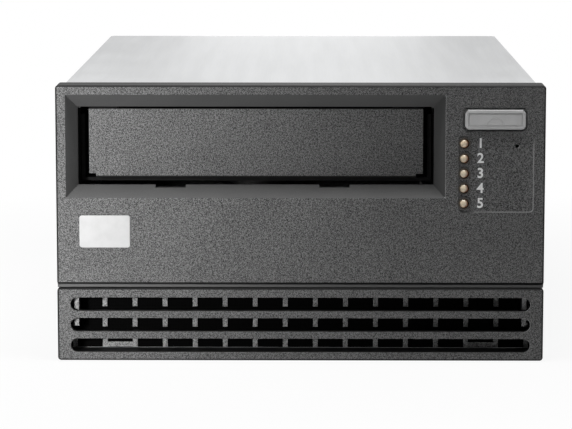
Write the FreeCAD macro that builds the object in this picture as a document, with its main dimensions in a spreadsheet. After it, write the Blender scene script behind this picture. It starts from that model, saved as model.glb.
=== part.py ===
"""Full-height 5.25-inch data tape drive, modelled as a parametric FreeCAD document.

Frame: +X is right seen from the front, +Y runs back into the drive, +Z is up.
The origin is the middle of the bounding box at the height of the bezel's lower edge.
Lengths are millimetres and angles are degrees.
"""
import FreeCAD, Part
import math
import os
import re
import Sketcher

# Driving dimensions. Every one becomes an aliased cell of the sheet "sizes".
SIZES = {
    # outer form: the standard 5.25-inch full-height body and its faceplate
    "body_width": 146.05, "body_height": 82.55, "body_depth": 203.2, "body_base": 1.5,
    "bezel_overhang": 1.625, "bezel_rise": 0.95, "bezel_depth": 10.0, "bezel_wall": 2.6,
    "bezel_rim": 2.2, "bezel_corner": 1.0, "edge_break": 0.4, "brow_height": 2.85,
    "button_proud": 0.6,
    "moving_gap": 0.4, "shaft_gap": 0.05, "seat_gap": 0.3,
    # the seam between the upper panel and the lower vent grille
    "seam_height": 22.6, "seam_gap": 0.3, "step_height": 1.4, "step_depth": 1.5,
    # cartridge slot in the bezel: a funnel with mitred sides, left of the control zone
    "slot_margin": 4.675, "control_zone": 32.075, "slot_height": 24.15,
    "funnel_side": 3.3, "funnel_below": 3.3, "funnel_above": 4.2, "funnel_depth": 6.0,
    "funnel_lip": 1.4, "funnel_wall": 1.2, "notch_width": 9.3, "notch_depth": 0.8,
    "notch_reach": 3.0, "notch_left": 26.2, "notch_right": 24.15,
    # cartridge door, hung from an axle above the slot
    "door_side_gap": 3.25, "door_floor_gap": 2.0, "door_head_gap": 0.85, "door_thick": 2.0,
    "door_setback": 8.5, "door_notch_width": 2.1, "door_notch_height": 1.2,
    "door_axle_radius": 1.0, "door_axle_back": 0.1, "door_axle_rise": 2.1,
    "knuckle_radius": 2.0, "knuckle_length": 9.0, "ear_thick": 1.4, "ear_reach": 1.8,
    "door_rib_height": 0.9, "door_rib_width": 1.2,
    # eject button, its switch and the board behind the panel
    "button_width": 18.4, "button_height": 5.95, "button_drop": 6.25,
    "button_corner": 0.8, "button_gap": 0.6, "button_flange": 0.7, "flange_thick": 1.0,
    "button_travel": 0.8, "switch_side": 6.0, "switch_thick": 3.4, "plunger_radius": 1.7,
    "plunger_length": 1.6, "board_front": 8.2, "board_thick": 1.6, "board_gap": 0.6,
    "board_reach": 1.5, "boss_radius": 1.5, "boss_rise": 1.9, "boss_drop": 1.0,
    "small_screw_radius": 0.8, "small_head_radius": 1.5, "small_head_thick": 1.1,
    # indicator lights, their label field and the reset pinhole
    "light_drop": 2.3, "light_pitch": 4.6, "light_radius": 1.5,
    "light_gap": 0.1, "lights": 5, "light_bar_front": 4.2, "light_bar_thick": 1.6,
    "light_bar_width": 3.6, "chip_thick": 0.8, "chip_side": 2.0, "field_corner": 1.3,
    "field_drop": 2.1, "field_height": 23.5, "field_depth": 0.3, "field_slope": 0.3,
    "pinhole_drop": 3.05, "pinhole_radius": 0.6,
    # lower vent grille: deep fins with upright bars and a dust screen behind them
    "vent_margin": 2.375, "vent_height": 4.2, "vent_low": 4.75, "vent_pitch": 6.4,
    "vent_rows": 3, "bar_count": 16, "bar_margin": 1.35, "bar_wide": 1.5, "bar_setback": 8.2,
    "bar_thick": 0.8, "shelf_thick": 1.0, "screen_thick": 0.6, "bracket_height": 1.5,
    "bracket_up": 2.8, "tab_thick": 1.4, "tab_length": 16.0, "tab_height": 10.0, "tab_gap": 0.2,
    # cast chassis of H section, with its deck under the cartridge slot
    "wall_thick": 3.2, "sheet_thick": 1.0, "cover_skirt": 24.0, "deck_clearance": 8.3,
    "deck_thick": 2.5, "foot_width": 6.0, "foot_top": 8.0, "lip_width": 1.6,
    "lip_thick": 2.0, "rear_relief": 1.2,
    "mount_first": 47.4, "mount_pitch": 79.25, "mount_low": 10.0, "mount_high": 21.84,
    "mount_inset": 3.175, "mount_radius": 1.25, "mount_deep": 5.0,
    "screw_radius": 1.25, "screw_head_radius": 2.5, "screw_length": 5.0,
    "cover_screw_first": 40.0, "cover_screw_pitch": 120.0, "cover_screw_rise": 5.95,
    # cartridge tray, carried in a sheet-metal carriage
    "tray_play": 1.75, "tray_wall": 1.2, "tray_step": 0.5, "tray_floor_thick": 1.0,
    "tray_drop": 2.95, "tray_front": 12.6, "tray_stop": 102.0, "tray_back_thick": 1.5,
    "chuck_window": 18.0, "pin_radius": 1.2, "pin_rise": 9.2, "front_pin": 30.0,
    "rear_pin": 96.0, "carriage_thick": 1.0, "carriage_gap": 0.3, "carriage_front": 14.0,
    "carriage_back": 104.0, "carriage_rise": 2.45, "carriage_roof_front": 40.0,
    "load_travel": 18.0, "drop_travel": 6.0, "rail_floor": 1.0, "rail_lip": 1.0,
    "rail_top": 2.4, "rail_back": 124.0, "cam_front": 88.0,
    "cam_back": 122.0, "cam_rise": 14.2, "roof_window_front": 52.0, "roof_window_back": 92.0,
    "roof_window_width": 36.0,
    # loader gear train: rack on the carriage, compound gear, motor pinion
    "tooth_module": 0.8, "pressure_angle": 25.0, "addendum": 0.8, "dedendum": 1.05,
    "backlash": 0.16, "rack_reach": 4.8, "rack_height": 4.0,
    "rack_teeth": 9, "loader_depth": 66.0, "rack_pinion_teeth": 16, "loader_wheel_teeth": 20,
    "motor_pinion_teeth": 10, "wheel_height": 3.0,
    "gear_shaft_radius": 1.5, "mesh_angle": 60.0, "loader_motor_radius": 9.0,
    "loader_motor_height": 22.0,
    # supply spindle under the loaded cartridge
    "supply_depth": 69.0, "chuck_radius": 15.0, "chuck_plate": 1.6,
    "chuck_teeth": 30, "chuck_tooth_height": 1.0, "chuck_tooth_inner": 11.0,
    "spindle_radius": 4.0, "bearing_radius": 8.0, "bearing_thick": 4.0,
    "spin_motor_radius": 25.0, "spin_motor_height": 11.0,
    # take-up reel at the rear
    "reel_offset": 6.3, "reel_depth": 161.0, "reel_radius": 37.5, "reel_hub_radius": 22.0,
    "reel_flange": 1.2, "reel_gap": 14.0, "reel_window_radius": 5.5,
    "reel_window_ring": 29.5, "reel_windows": 8, "leader_width": 12.0, "leader_length": 9.0,
    # tape path: base plate, four rollers and the head
    "path_front": 92.0, "path_back": 172.0,
    "path_thick": 3.0, "roller_radius": 5.0, "roller_flange": 6.6, "roller_rim": 1.0,
    "roller_height": 15.0, "roller_pin": 1.5, "roller_rise": 2.0, "roller_1_depth": 106.0,
    "roller_2_depth": 119.0, "roller_3_depth": 153.0, "roller_4_depth": 166.0,
    "head_depth": 136.0, "head_posts": 10.0, "post_radius": 1.5, "post_room": 1.0,
    "head_block_height": 13.0,
    "head_block_wide": 8.0, "head_block_deep": 15.0, "head_travel": 5.0,
    "head_bar_wide": 3.5, "head_bar_deep": 5.0, "head_bar_height": 17.0,
    "lead_radius": 1.0, "stepper_radius": 5.0, "stepper_height": 11.0,
    "top_bracket_thick": 1.5,
    # electronics and cooling in the lower half
    "main_board_thick": 1.6, "main_board_front": 14.0, "main_board_notch": 186.0,
    "fan_head_gap": 0.2, "fan_thick": 20.0, "fan_wall": 1.2,
    "fan_hub_radius": 9.5, "fan_tip_gap": 0.6, "fan_blades": 7,
    "fan_blade_thick": 0.9, "fan_pitch_hub": 48.0, "fan_pitch_tip": 27.0,
    "fan_hole_inset": 4.0, "fan_hole_radius": 1.7, "fan_shaft_radius": 1.5,
    "fan_strut": 2.0, "fan_disc": 2.0, "guard_slots": 9, "guard_slot_wide": 2.4,
    "guard_inset": 2.8, "sas_margin": 15.025, "sas_width": 42.0, "sas_height": 8.6,
    "sas_length": 18.0, "service_shift": 1.2, "service_width": 15.6,
    "service_height": 13.2, "service_length": 17.0, "port_wall": 1.0, "port_deep": 11.0,
    "tongue_thick": 1.8, "tongue_wide": 34.0,
    "processor_across": -30.0, "processor_depth": 118.0, "processor_side": 27.0,
    "memory_across": 6.0, "memory_depth": 100.0, "memory_wide": 8.0, "memory_long": 14.0,
    "memory_pitch": 11.0, "memories": 4, "package_thick": 2.0,
    "capacitor_depth": 34.0, "capacitor_radius": 4.0, "capacitor_height": 11.0,
    "capacitor_pitch": 11.0, "capacitors": 4,
    "fan_blade_chord_hub": 10.0, "fan_blade_chord_tip": 15.5, "fan_camber": 0.12,
    "fan_hub_length": 14.0,
}

# Heights above the deck. Each gives the place of its name.
ABOVE_DECK = {
    "rack_base": 10.5, "wheel_base": 4.5, "chuck_top": 4.5, "reel_base": 5.0,
    "head_block_base": 8.5,
}
# Distances in from the body's right side. Each gives the place of its name.
FROM_RIGHT = {
    "button_centre": 13.725, "light_across": 23.075, "field_left": 24.825, "field_right": 1.825,
    "pinhole_across": 7.025, "boss_across": 6.025, "panel_board_left": 25.825,
    "panel_board_right": 1.225, "path_left": 28.525, "path_right": 3.825, "head_across": 9.025,
    "roller_1_across": 22.525, "roller_2_across": 16.025, "roller_3_across": 16.025,
    "roller_4_across": 22.525, "capacitor_across": 29.025, "fan_across": 31.025,
}

# Places that several pieces share, each worked out from the driving dimensions.
PLACES = {
    "front": "(button_proud / 2 - (bezel_depth + body_depth) / 2)",
    "body_front": "(front + bezel_depth)",
    "body_back": "(body_front + body_depth)",
    "panel_back": "(body_back - rear_relief)",
    "chassis_back": "(panel_back - sheet_thick)",
    "wall_out": "(body_width / 2)",
    "wall_in": "(wall_out - wall_thick)",
    "cover_top": "(body_base + body_height)",
    "cover_under": "(cover_top - sheet_thick)",
    "bezel_height": "(cover_top + bezel_rise)",
    "bezel_width": "(body_width + 2 * bezel_overhang)",
    "slot_top": "(bezel_height - brow_height - funnel_above)",
    "slot_base": "(slot_top - slot_height)",
    "deck_top": "(slot_base - deck_clearance)",
    "skirt_base": "(cover_top - cover_skirt)",
    "cover_screw_up": "(skirt_base + cover_screw_rise)",
    "deck_under": "(deck_top - deck_thick)",
    "foot_in": "(wall_out - foot_width)",
    "lip_base": "(body_base + sheet_thick)",
    "upper_base": "(seam_height + seam_gap)",
    "step_top": "(upper_base + step_height)",
    "slot_left": "(slot_margin - wall_out)",
    "slot_right": "(wall_out - control_zone)",
    "slot_centre": "((slot_left + slot_right) / 2)",
    "funnel_back": "(front + funnel_depth + funnel_lip)",
    "door_front": "(front + door_setback)",
    "door_left": "(slot_left + door_side_gap)",
    "door_right": "(slot_right - door_side_gap)",
    "door_base": "(slot_base + door_floor_gap)",
    "door_top": "(slot_top - door_head_gap)",
    "door_height": "(door_top - door_base)",
    "axle_y": "(door_front + door_thick + door_axle_back)",
    "axle_z": "(door_top + door_axle_rise)",
    "left_ear": "(slot_left - ear_thick / 2)",
    "right_ear": "(slot_right - ear_thick / 2)",
    "panel_inside": "(front + bezel_wall)",
    "flange_front": "(panel_inside + tab_gap)",
    "flange_back": "(flange_front + flange_thick)",
    "button_left": "(button_centre - button_width / 2)",
    "button_right": "(button_centre + button_width / 2)",
    "button_base": "(slot_top - button_drop)",
    "button_top": "(button_base + button_height)",
    "button_middle": "(button_base + button_height / 2)",
    "field_top": "(button_base - field_drop)",
    "field_base": "(field_top - field_height)",
    "light_low": "(field_top - light_drop - (lights - 1) * light_pitch)",
    "pinhole_up": "(field_top - pinhole_drop)",
    "panel_board": "(front + board_front)",
    "panel_board_base": "(field_base - board_reach)",
    "panel_board_top": "(bezel_height - bezel_rim - board_gap)",
    "boss_low": "(field_base + boss_rise)",
    "boss_high": "(panel_board_top - boss_drop)",
    "switch_front": "(panel_board - switch_thick)",
    "tray_left": "(slot_left + tray_play)",
    "tray_right": "(slot_right - tray_play)",
    "tray_out_left": "(tray_left - tray_wall)",
    "tray_out_right": "(tray_right + tray_wall)",
    "tray_floor": "(slot_base + tray_step)",
    "tray_deck": "(tray_floor + tray_floor_thick)",
    "tray_top": "(slot_top - tray_drop)",
    "pin_up": "(slot_base + pin_rise)",
    "cam_top": "(slot_base + cam_rise)",
    "carriage_top": "(slot_top + carriage_rise)",
    "plate_left": "(tray_out_left - carriage_gap)",
    "plate_right": "(tray_out_right + carriage_gap)",
    "rail_deck": "(deck_top + rail_floor)",
    "plate_base": "(rail_deck + seat_gap)",
    "pinion_radius": "(tooth_module * rack_pinion_teeth / 2)",
    "wheel_radius": "(tooth_module * loader_wheel_teeth / 2)",
    "motor_pinion_radius": "(tooth_module * motor_pinion_teeth / 2)",
    "rack_line": "(plate_right + rack_reach)",
    "loader_x": "(rack_line + pinion_radius)",
    "loader_y": "(front + loader_depth)",
    "loader_reach": "(wheel_radius + motor_pinion_radius)",
    "motor_x": "(loader_x + loader_reach * cos(mesh_angle))",
    "motor_y": "(loader_y + loader_reach * sin(mesh_angle))",
    "supply_y": "(front + supply_depth)",
    "reel_across": "(slot_centre - reel_offset)",
    "reel_y": "(front + reel_depth)",
    "reel_top": "(reel_base + 2 * reel_flange + reel_gap)",
    "path_top": "(deck_top + path_thick)",
    "head_y": "(front + head_depth)",
    "head_block_top": "(head_block_base + head_block_height)",
    "post_top": "(head_block_base + head_bar_height + head_travel + post_room)",
    "board_top": "(foot_top + main_board_thick)",
    "fan_front": "(chassis_back - fan_thick)",
    "fan_base": "(lip_base + seat_gap)",
    "fan_side": "(deck_under - fan_head_gap - fan_base)",
    "fan_up": "(fan_base + fan_side / 2)",
    "fan_bore": "(fan_side / 2 - fan_wall)",
    "fan_hole_pitch": "(fan_side - 2 * fan_hole_inset)",
    "guard_pitch": "(2 * (fan_bore - guard_inset) / (guard_slots - 1))",
    "sas_left": "(sas_margin - wall_out)",
    "service_middle": "((sas_left + sas_width + fan_across - fan_side / 2) / 2 - service_shift)",
    "service_left": "(service_middle - service_width / 2)",
    "mount_across": "(body_width - 2 * mount_inset)",
    "vent_width": "(body_width - 2 * vent_margin)",
    "bar_pitch": "((vent_width - bar_margin) / (bar_count - 1))",
    "bar_front": "(front + bar_setback)",
    "bar_back": "(bar_front + bar_thick)",
}
for names, form, ending in ((ABOVE_DECK, "(deck_top + {})", "_rise"),
                            (FROM_RIGHT, "(wall_out - {})", "_inset")):
    for name, number in names.items():
        SIZES[name + ending] = number
        PLACES[name] = form.format(name + ending)

document = FreeCAD.newDocument("tape_drive")
sheet = document.addObject("Spreadsheet::Sheet", "sizes")
for row, (alias, number) in enumerate(SIZES.items(), start=1):
    sheet.set(f"A{row}", alias)
    sheet.set(f"B{row}", str(number))
    sheet.setAlias(f"B{row}", alias)
document.recompute()

NODES = []
UP = FreeCAD.Vector(0, 0, 1)


def spell(text):
    """The expression with places opened up and every alias tied to the sheet."""
    text = str(text)
    while True:
        longer = re.sub(r"[a-z_][a-z_0-9]*", lambda word: PLACES.get(word.group(), word.group()), text)
        if longer == text:
            break
        text = longer
    return re.sub(
        r"[a-z_][a-z_0-9]*",
        lambda word: "sizes." + word.group() if word.group() in SIZES else word.group(),
        text,
    )


def value(text):
    """The number that an expression gives now."""
    return float(sheet.evalExpression(spell(text)))


def bind(thing, **links):
    """Tie properties to expressions."""
    for name, text in links.items():
        thing.setExpression(name, spell(text))
    return thing


def place(thing, x="0", y="0", z="0", turn=None):
    """Put an object's own origin at a place, turned first."""
    if turn:
        thing.Placement = FreeCAD.Placement(FreeCAD.Vector(), turn)
    for axis, text in zip("xyz", (x, y, z)):
        thing.setExpression("Placement.Base." + axis, spell(text))
    return thing


def node(thing, name):
    """Register a finished sub-part under its node name."""
    thing.Label = name
    NODES.append(thing)
    return thing


# ---- primitives and booleans -------------------------------------------------------------

def box(x, y, z, name="block"):
    """A block between two places along each axis."""
    block = document.addObject("Part::Box", name)
    bind(block, Length=f"{x[1]} - ({x[0]})", Width=f"{y[1]} - ({y[0]})", Height=f"{z[1]} - ({z[0]})")
    return place(block, x[0], y[0], z[0])


ALONG = {
    "x": FreeCAD.Rotation(FreeCAD.Vector(0, 1, 0), 90),
    "y": FreeCAD.Rotation(FreeCAD.Vector(1, 0, 0), -90),
    "z": FreeCAD.Rotation(),
}


def spot(axis, centre, start):
    """Centre across an axis, plus a start along it, as x, y and z."""
    across, up = centre
    return {"x": (start, across, up), "y": (across, start, up), "z": (across, up, start)}[axis]


def rod(axis, centre, radius, span, name="rod"):
    """A cylinder along an axis between two places."""
    cylinder = document.addObject("Part::Cylinder", name)
    bind(cylinder, Radius=radius, Height=f"{span[1]} - ({span[0]})")
    return place(cylinder, *spot(axis, centre, span[0]), turn=ALONG[axis])


def cone(axis, centre, radii, span, name="cone"):
    """A cone frustum along an axis between two places."""
    frustum = document.addObject("Part::Cone", name)
    bind(frustum, Radius1=radii[0], Radius2=radii[1], Height=f"{span[1]} - ({span[0]})")
    return place(frustum, *spot(axis, centre, span[0]), turn=ALONG[axis])


def gather(parts, name="group"):
    """Several solids kept apart in one object."""
    group = document.addObject("Part::Compound", name)
    group.Links = parts
    return group


def fuse(parts, name="joined"):
    """Several solids joined to one."""
    joined = document.addObject("Part::MultiFuse", name)
    joined.Shapes = parts
    joined.Refine = True
    return joined


def cut(base, tools, name="cut"):
    """A solid less several tools."""
    result = document.addObject("Part::Cut", name)
    result.Base = base
    result.Tool = tools[0] if len(tools) == 1 else gather(tools, name + "_tools")
    return result


# ---- sketches ----------------------------------------------------------------------------

PLANES = {"front": "XZ_Plane", "top": "XY_Plane", "side": "YZ_Plane"}


def outline_panel(left, right, low, high):
    """Corners of a rectangle."""
    return [(left, low), (right, low), (right, high), (left, high)]


def hold(sketch, geometry, point, across, up):
    """Fix a sketch point at bound distances from the sketch's origin."""
    for kind, text in (("DistanceX", across), ("DistanceY", up)):
        index = sketch.addConstraint(Sketcher.Constraint(kind, -1, 1, geometry, point, value(text)))
        sketch.setExpression(f"Constraints[{index}]", spell(text))


def size(sketch, kind, geometry, text):
    """Bind a radius."""
    index = sketch.addConstraint(Sketcher.Constraint(kind, geometry, value(text)))
    sketch.setExpression(f"Constraints[{index}]", spell(text))


def draw_polygon(sketch, corners):
    """A closed outline of straight lines through bound corners."""
    points = [FreeCAD.Vector(value(u), value(v), 0) for u, v in corners]
    first = sketch.GeometryCount
    for index, point in enumerate(points):
        sketch.addGeometry(Part.LineSegment(point, points[(index + 1) % len(points)]))
    for index, (across, up) in enumerate(corners):
        following = first + (index + 1) % len(points)
        sketch.addConstraint(Sketcher.Constraint("Coincident", first + index, 2, following, 1))
        hold(sketch, first + index, 1, across, up)


def draw_circle(sketch, across, up, radius):
    """A bound circle."""
    centre = FreeCAD.Vector(value(across), value(up), 0)
    circle = sketch.addGeometry(Part.Circle(centre, UP, value(radius)))
    hold(sketch, circle, 3, across, up)
    size(sketch, "Radius", circle, radius)


def draw_rounded(sketch, left, right, low, high, radius):
    """A rectangle whose corners are tangent arcs."""
    x0, x1, z0, z1, r = (value(text) for text in (left, right, low, high, radius))
    vector = FreeCAD.Vector
    sides = [
        (vector(x0 + r, z0, 0), vector(x1 - r, z0, 0)), (vector(x1, z0 + r, 0), vector(x1, z1 - r, 0)),
        (vector(x1 - r, z1, 0), vector(x0 + r, z1, 0)), (vector(x0, z1 - r, 0), vector(x0, z0 + r, 0)),
    ]
    centres = [vector(x1 - r, z0 + r, 0), vector(x1 - r, z1 - r, 0), vector(x0 + r, z1 - r, 0),
               vector(x0 + r, z0 + r, 0)]
    first = sketch.GeometryCount
    for corner, (side, centre) in enumerate(zip(sides, centres)):
        sketch.addGeometry(Part.LineSegment(*side))
        begin = math.radians(270 + 90 * corner)
        sketch.addGeometry(Part.ArcOfCircle(Part.Circle(centre, UP, r), begin, begin + math.pi / 2))
    for corner in range(4):
        line, arc = first + 2 * corner, first + 2 * corner + 1
        following = first + (2 * corner + 2) % 8
        sketch.addConstraint(Sketcher.Constraint("Tangent", line, 2, arc, 1))
        sketch.addConstraint(Sketcher.Constraint("Tangent", arc, 2, following, 1))
        sketch.addConstraint(Sketcher.Constraint("Vertical" if corner % 2 else "Horizontal", line))
        size(sketch, "Radius", arc, radius)
        kind, text = (("DistanceX", (right, left)[corner // 2]) if corner % 2
                      else ("DistanceY", (low, high)[corner // 2]))
        index = sketch.addConstraint(Sketcher.Constraint(kind, -1, 1, line, 1, value(text)))
        sketch.setExpression(f"Constraints[{index}]", spell(text))


def draw_slot(sketch, left, right, up, radius, upright=False):
    """A stadium: two parallel sides and two half-circle ends."""
    a, b, c, r = (value(text) for text in (left, right, up, radius))
    vector = FreeCAD.Vector

    def at(along, across):
        return vector(across, along, 0) if upright else vector(along, across, 0)

    quarter = math.pi / 2
    side = 1 if upright else -1
    first = sketch.GeometryCount
    sketch.addGeometry(Part.LineSegment(at(a, c + side * r), at(b, c + side * r)))
    start = 0 if upright else -quarter
    sketch.addGeometry(Part.ArcOfCircle(Part.Circle(at(b, c), UP, r), start, start + math.pi))
    sketch.addGeometry(Part.LineSegment(at(b, c - side * r), at(a, c - side * r)))
    sketch.addGeometry(
        Part.ArcOfCircle(Part.Circle(at(a, c), UP, r), start + math.pi, start + 2 * math.pi))
    for step in range(4):
        sketch.addConstraint(Sketcher.Constraint("Tangent", first + step, 2, first + (step + 1) % 4, 1))
    for arc, along in ((first + 1, right), (first + 3, left)):
        hold(sketch, arc, 3, *((up, along) if upright else (along, up)))
        size(sketch, "Radius", arc, radius)


def circle(across, up, radius):
    return lambda sketch: draw_circle(sketch, across, up, radius)


def rounded(left, right, low, high, radius):
    return lambda sketch: draw_rounded(sketch, left, right, low, high, radius)


def slot(left, right, up, radius, upright=False):
    return lambda sketch: draw_slot(sketch, left, right, up, radius, upright)


def polygon(corners):
    return lambda sketch: draw_polygon(sketch, corners)


def panel(left, right, low, high):
    return polygon(outline_panel(left, right, low, high))


# ---- bodies ------------------------------------------------------------------------------

class Solid:
    """A PartDesign body whose features start at a place and run along +X, +Y or +Z."""

    def __init__(self, name):
        self.name = name
        self.body = document.addObject("PartDesign::Body", name)
        self.steps = 0

    def sketch(self, plane, at, outlines):
        """A bound sketch on one of the body's own planes, moved to a place along its normal."""
        self.steps += 1
        drawing = self.body.newObject("Sketcher::SketchObject", f"{self.name}_sketch_{self.steps}")
        role = PLANES[plane]
        base = next(item for item in self.body.Origin.OriginFeatures if item.Role == role)
        drawing.AttachmentSupport = (base, [""])
        drawing.MapMode = "FlatFace"
        offset = f"-({at})" if plane == "front" else at
        drawing.setExpression("AttachmentOffset.Base.z", spell(offset))
        for outline in outlines:
            outline(drawing)
        return drawing

    def pad(self, plane, span, *outlines):
        """Material between two places along the plane's axis."""
        drawing = self.sketch(plane, span[0], outlines)
        feature = self.body.newObject("PartDesign::Pad", f"{self.name}_pad_{self.steps}")
        feature.Profile = drawing
        feature.Reversed = plane == "front"
        return self.finish(bind(feature, Length=f"{span[1]} - ({span[0]})"))

    def pocket(self, plane, span, *outlines):
        """A cut between two places along the plane's axis."""
        drawing = self.sketch(plane, span[0], outlines)
        feature = self.body.newObject("PartDesign::Pocket", f"{self.name}_pocket_{self.steps}")
        feature.Profile = drawing
        feature.Reversed = plane != "front"
        return self.finish(bind(feature, Length=f"{span[1]} - ({span[0]})"))

    def loft(self, plane, ends, kind="SubtractiveLoft"):
        """A cut, or material, whose outline changes; ends holds (place, outline) pairs."""
        drawings = [self.sketch(plane, at, [outline]) for at, outline in ends]
        feature = self.body.newObject("PartDesign::" + kind, f"{self.name}_loft_{self.steps}")
        feature.Profile = drawings[0]
        feature.Sections = drawings[1:]
        feature.Ruled = True
        return self.finish(feature)

    def turn(self, corners):
        """A solid of revolution about the body's own Z axis, from (radius, height) corners."""
        drawing = self.sketch("front", "0", [polygon(corners)])
        feature = self.body.newObject("PartDesign::Revolution", f"{self.name}_turn_{self.steps}")
        feature.Profile = drawing
        feature.ReferenceAxis = (drawing, ["V_Axis"])
        feature.Angle = 360
        return self.finish(feature)

    def ring(self, feature, count):
        """Repeat a feature evenly around the body's own Z axis."""
        axis = next(item for item in self.body.Origin.OriginFeatures if item.Role == "Z_Axis")
        pattern = self.body.newObject("PartDesign::PolarPattern", f"{self.name}_ring_{self.steps}")
        pattern.Originals = [feature]
        pattern.Axis = (axis, [""])
        pattern.Angle = 360
        bind(pattern, Occurrences=count)
        self.body.Tip = pattern
        return pattern

    def finish(self, feature):
        self.body.Tip = feature
        return feature

    def done(self, node_name=None):
        return node(self.body, node_name or self.name)


# ---- bezel, vent grille and door ---------------------------------------------------------

HALF_BEZEL = "bezel_width / 2"
SIDES = (-1, 1)
BOSSES = (("boss_across", "boss_low"), ("boss_across", "boss_high"))


def shell(solid, low, high):
    """A moulded shell: rounded outline, front edge broken all round, open at the back."""
    def outline(inset):
        return rounded(f"{inset} - {HALF_BEZEL}", f"{HALF_BEZEL} - {inset}",
                       f"{low} + {inset}", f"{high} - {inset}", f"bezel_corner - {inset}")

    broken = "front + edge_break"
    solid.loft("front", [("front", outline("edge_break")), (broken, outline("0"))], "AdditiveLoft")
    solid.pad("front", (broken, "body_front"), outline("0"))
    solid.pocket("front", ("panel_inside", "body_front"),
                 panel(f"bezel_rim - {HALF_BEZEL}", f"{HALF_BEZEL} - bezel_rim",
                       f"{low} + bezel_rim", f"{high} - bezel_rim"))


def tabs(solid, low):
    """Two tongues that reach back inside the chassis walls."""
    for side in SIDES:
        ends = sorted((f"{side} * (wall_in - tab_gap)", f"{side} * (wall_in - tab_gap - tab_thick)"),
                      key=value)
        solid.pad("side", ends, panel("panel_inside", "body_front + tab_length",
                                      low, f"{low} + tab_height"))


def field(inset):
    """Outline of the sunken label field, its sides sloped inwards."""
    return rounded(f"field_left + {inset}", f"field_right - {inset}", f"field_base + {inset}",
                   f"field_top - {inset}", f"field_corner - {inset}")


def front_bezel():
    solid = Solid("front_bezel")
    shell(solid, "upper_base", "bezel_height")
    outer = ("slot_left - funnel_side", "slot_right + funnel_side",
             "slot_base - funnel_below", "slot_top + funnel_above")
    inner = ("slot_left", "slot_right", "slot_base", "slot_top")
    solid.pad("front", ("panel_inside", "funnel_back"), panel(
        outer[0] + " - funnel_wall", outer[1] + " + funnel_wall",
        outer[2] + " - funnel_wall", outer[3] + " + funnel_wall"))
    solid.loft("front", [("front", panel(*outer)), ("front + funnel_depth", panel(*inner))])
    solid.pocket("front", ("front + funnel_depth", "funnel_back"), panel(*inner))
    for middle in ("slot_centre - notch_left", "slot_centre + notch_right"):
        solid.pocket("front", ("front + notch_reach", "funnel_back"),
                     panel(f"{middle} - notch_width / 2", f"{middle} + notch_width / 2",
                           "slot_base - notch_depth", "slot_base + notch_depth"))
    solid.pocket("front", ("front", "front + step_depth"),
                 panel(f"-{HALF_BEZEL} - bezel_wall", f"{HALF_BEZEL} + bezel_wall",
                       "upper_base - bezel_wall", "step_top"))
    solid.pocket("front", ("front", "panel_inside"), rounded(
        "button_left - button_gap", "button_right + button_gap", "button_base - button_gap",
        "button_top + button_gap", "button_corner + button_gap"))
    solid.loft("front", [("front", field("0")), ("front + field_depth", field("field_slope"))])
    holes = [circle("light_across", f"light_low + {index} * light_pitch", "light_radius + light_gap")
             for index in range(int(value("lights")))]
    solid.pocket("front", ("front", "panel_inside"), *holes,
                 circle("pinhole_across", "pinhole_up", "pinhole_radius"))
    solid.pad("front", ("panel_inside", "panel_board"), *[circle(*at, "boss_radius") for at in BOSSES])
    solid.pocket("front", ("panel_inside", "panel_board"),
                 *[circle(*at, "small_screw_radius + shaft_gap") for at in BOSSES])
    for ear in ("left_ear", "right_ear"):
        solid.pad("side", (ear, f"{ear} + ear_thick"),
                  panel("funnel_back", "axle_y + ear_reach", "axle_z - ear_reach",
                        "bezel_height - bezel_rim"))
    solid.pocket("side", ("left_ear", "right_ear + ear_thick"),
                 circle("axle_y", "axle_z", "door_axle_radius + shaft_gap"))
    tabs(solid, "deck_under - moving_gap - tab_height")
    solid.done()


def bar_middle(index):
    """Where an upright bar of the grille stands across the front."""
    return f"({index} - (bar_count - 1) / 2) * bar_pitch"


def vent_grille():
    solid = Solid("vent_grille")
    shell(solid, "0", "seam_height")
    reach = "vent_width / 2 - vent_height / 2"
    middles = [f"vent_low + {row} * vent_pitch" for row in range(int(value("vent_rows")))]
    solid.pocket("front", ("front", "panel_inside"),
                 *[slot(f"-({reach})", reach, middle, "vent_height / 2") for middle in middles])
    count = int(value("bar_count"))
    for middle in middles:
        top, shelf_top = f"{middle} + vent_height / 2", f"{middle} + vent_height / 2 + shelf_thick"
        solid.pad("front", ("panel_inside", "bar_back"),
                  panel("bezel_rim - " + HALF_BEZEL, HALF_BEZEL + " - bezel_rim", top, shelf_top))
        solid.pad("front", ("bar_front", "bar_back"), *[
            panel(f"{bar_middle(index)} - bar_wide / 2", f"{bar_middle(index)} + bar_wide / 2",
                  f"{middle} - vent_height / 2", shelf_top) for index in range(count)])
    for first in (1, count - 3):  # a bracket joins the second and third bar from each end
        solid.pad("front", ("bar_front", "bar_back"),
                  panel(bar_middle(first), bar_middle(first + 1),
                        "bracket_up", "bracket_up + bracket_height"))
    tabs(solid, "seam_height - bezel_rim - tab_height")
    solid.done()


def dust_screen():
    """Black mesh sheet behind the grille's bars, notched round the grille's tongues."""
    solid = Solid("dust_screen")
    span = ("bar_back", "bar_back + screen_thick")
    edge = "(bezel_width / 2 - bezel_rim - seat_gap)"
    solid.pad("front", span, panel(f"-{edge}", edge, "bezel_rim + seat_gap",
                                   "seam_height - bezel_rim - seat_gap"))
    tongue = "(wall_in - tab_gap - tab_thick - seat_gap)"
    for ends in ((tongue, f"{edge} + seat_gap"), (f"-{edge} - seat_gap", f"-{tongue}")):
        solid.pocket("front", span, panel(*ends, "seam_height - bezel_rim - tab_height - seat_gap",
                                          "seam_height - bezel_rim"))
    solid.done()


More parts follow.
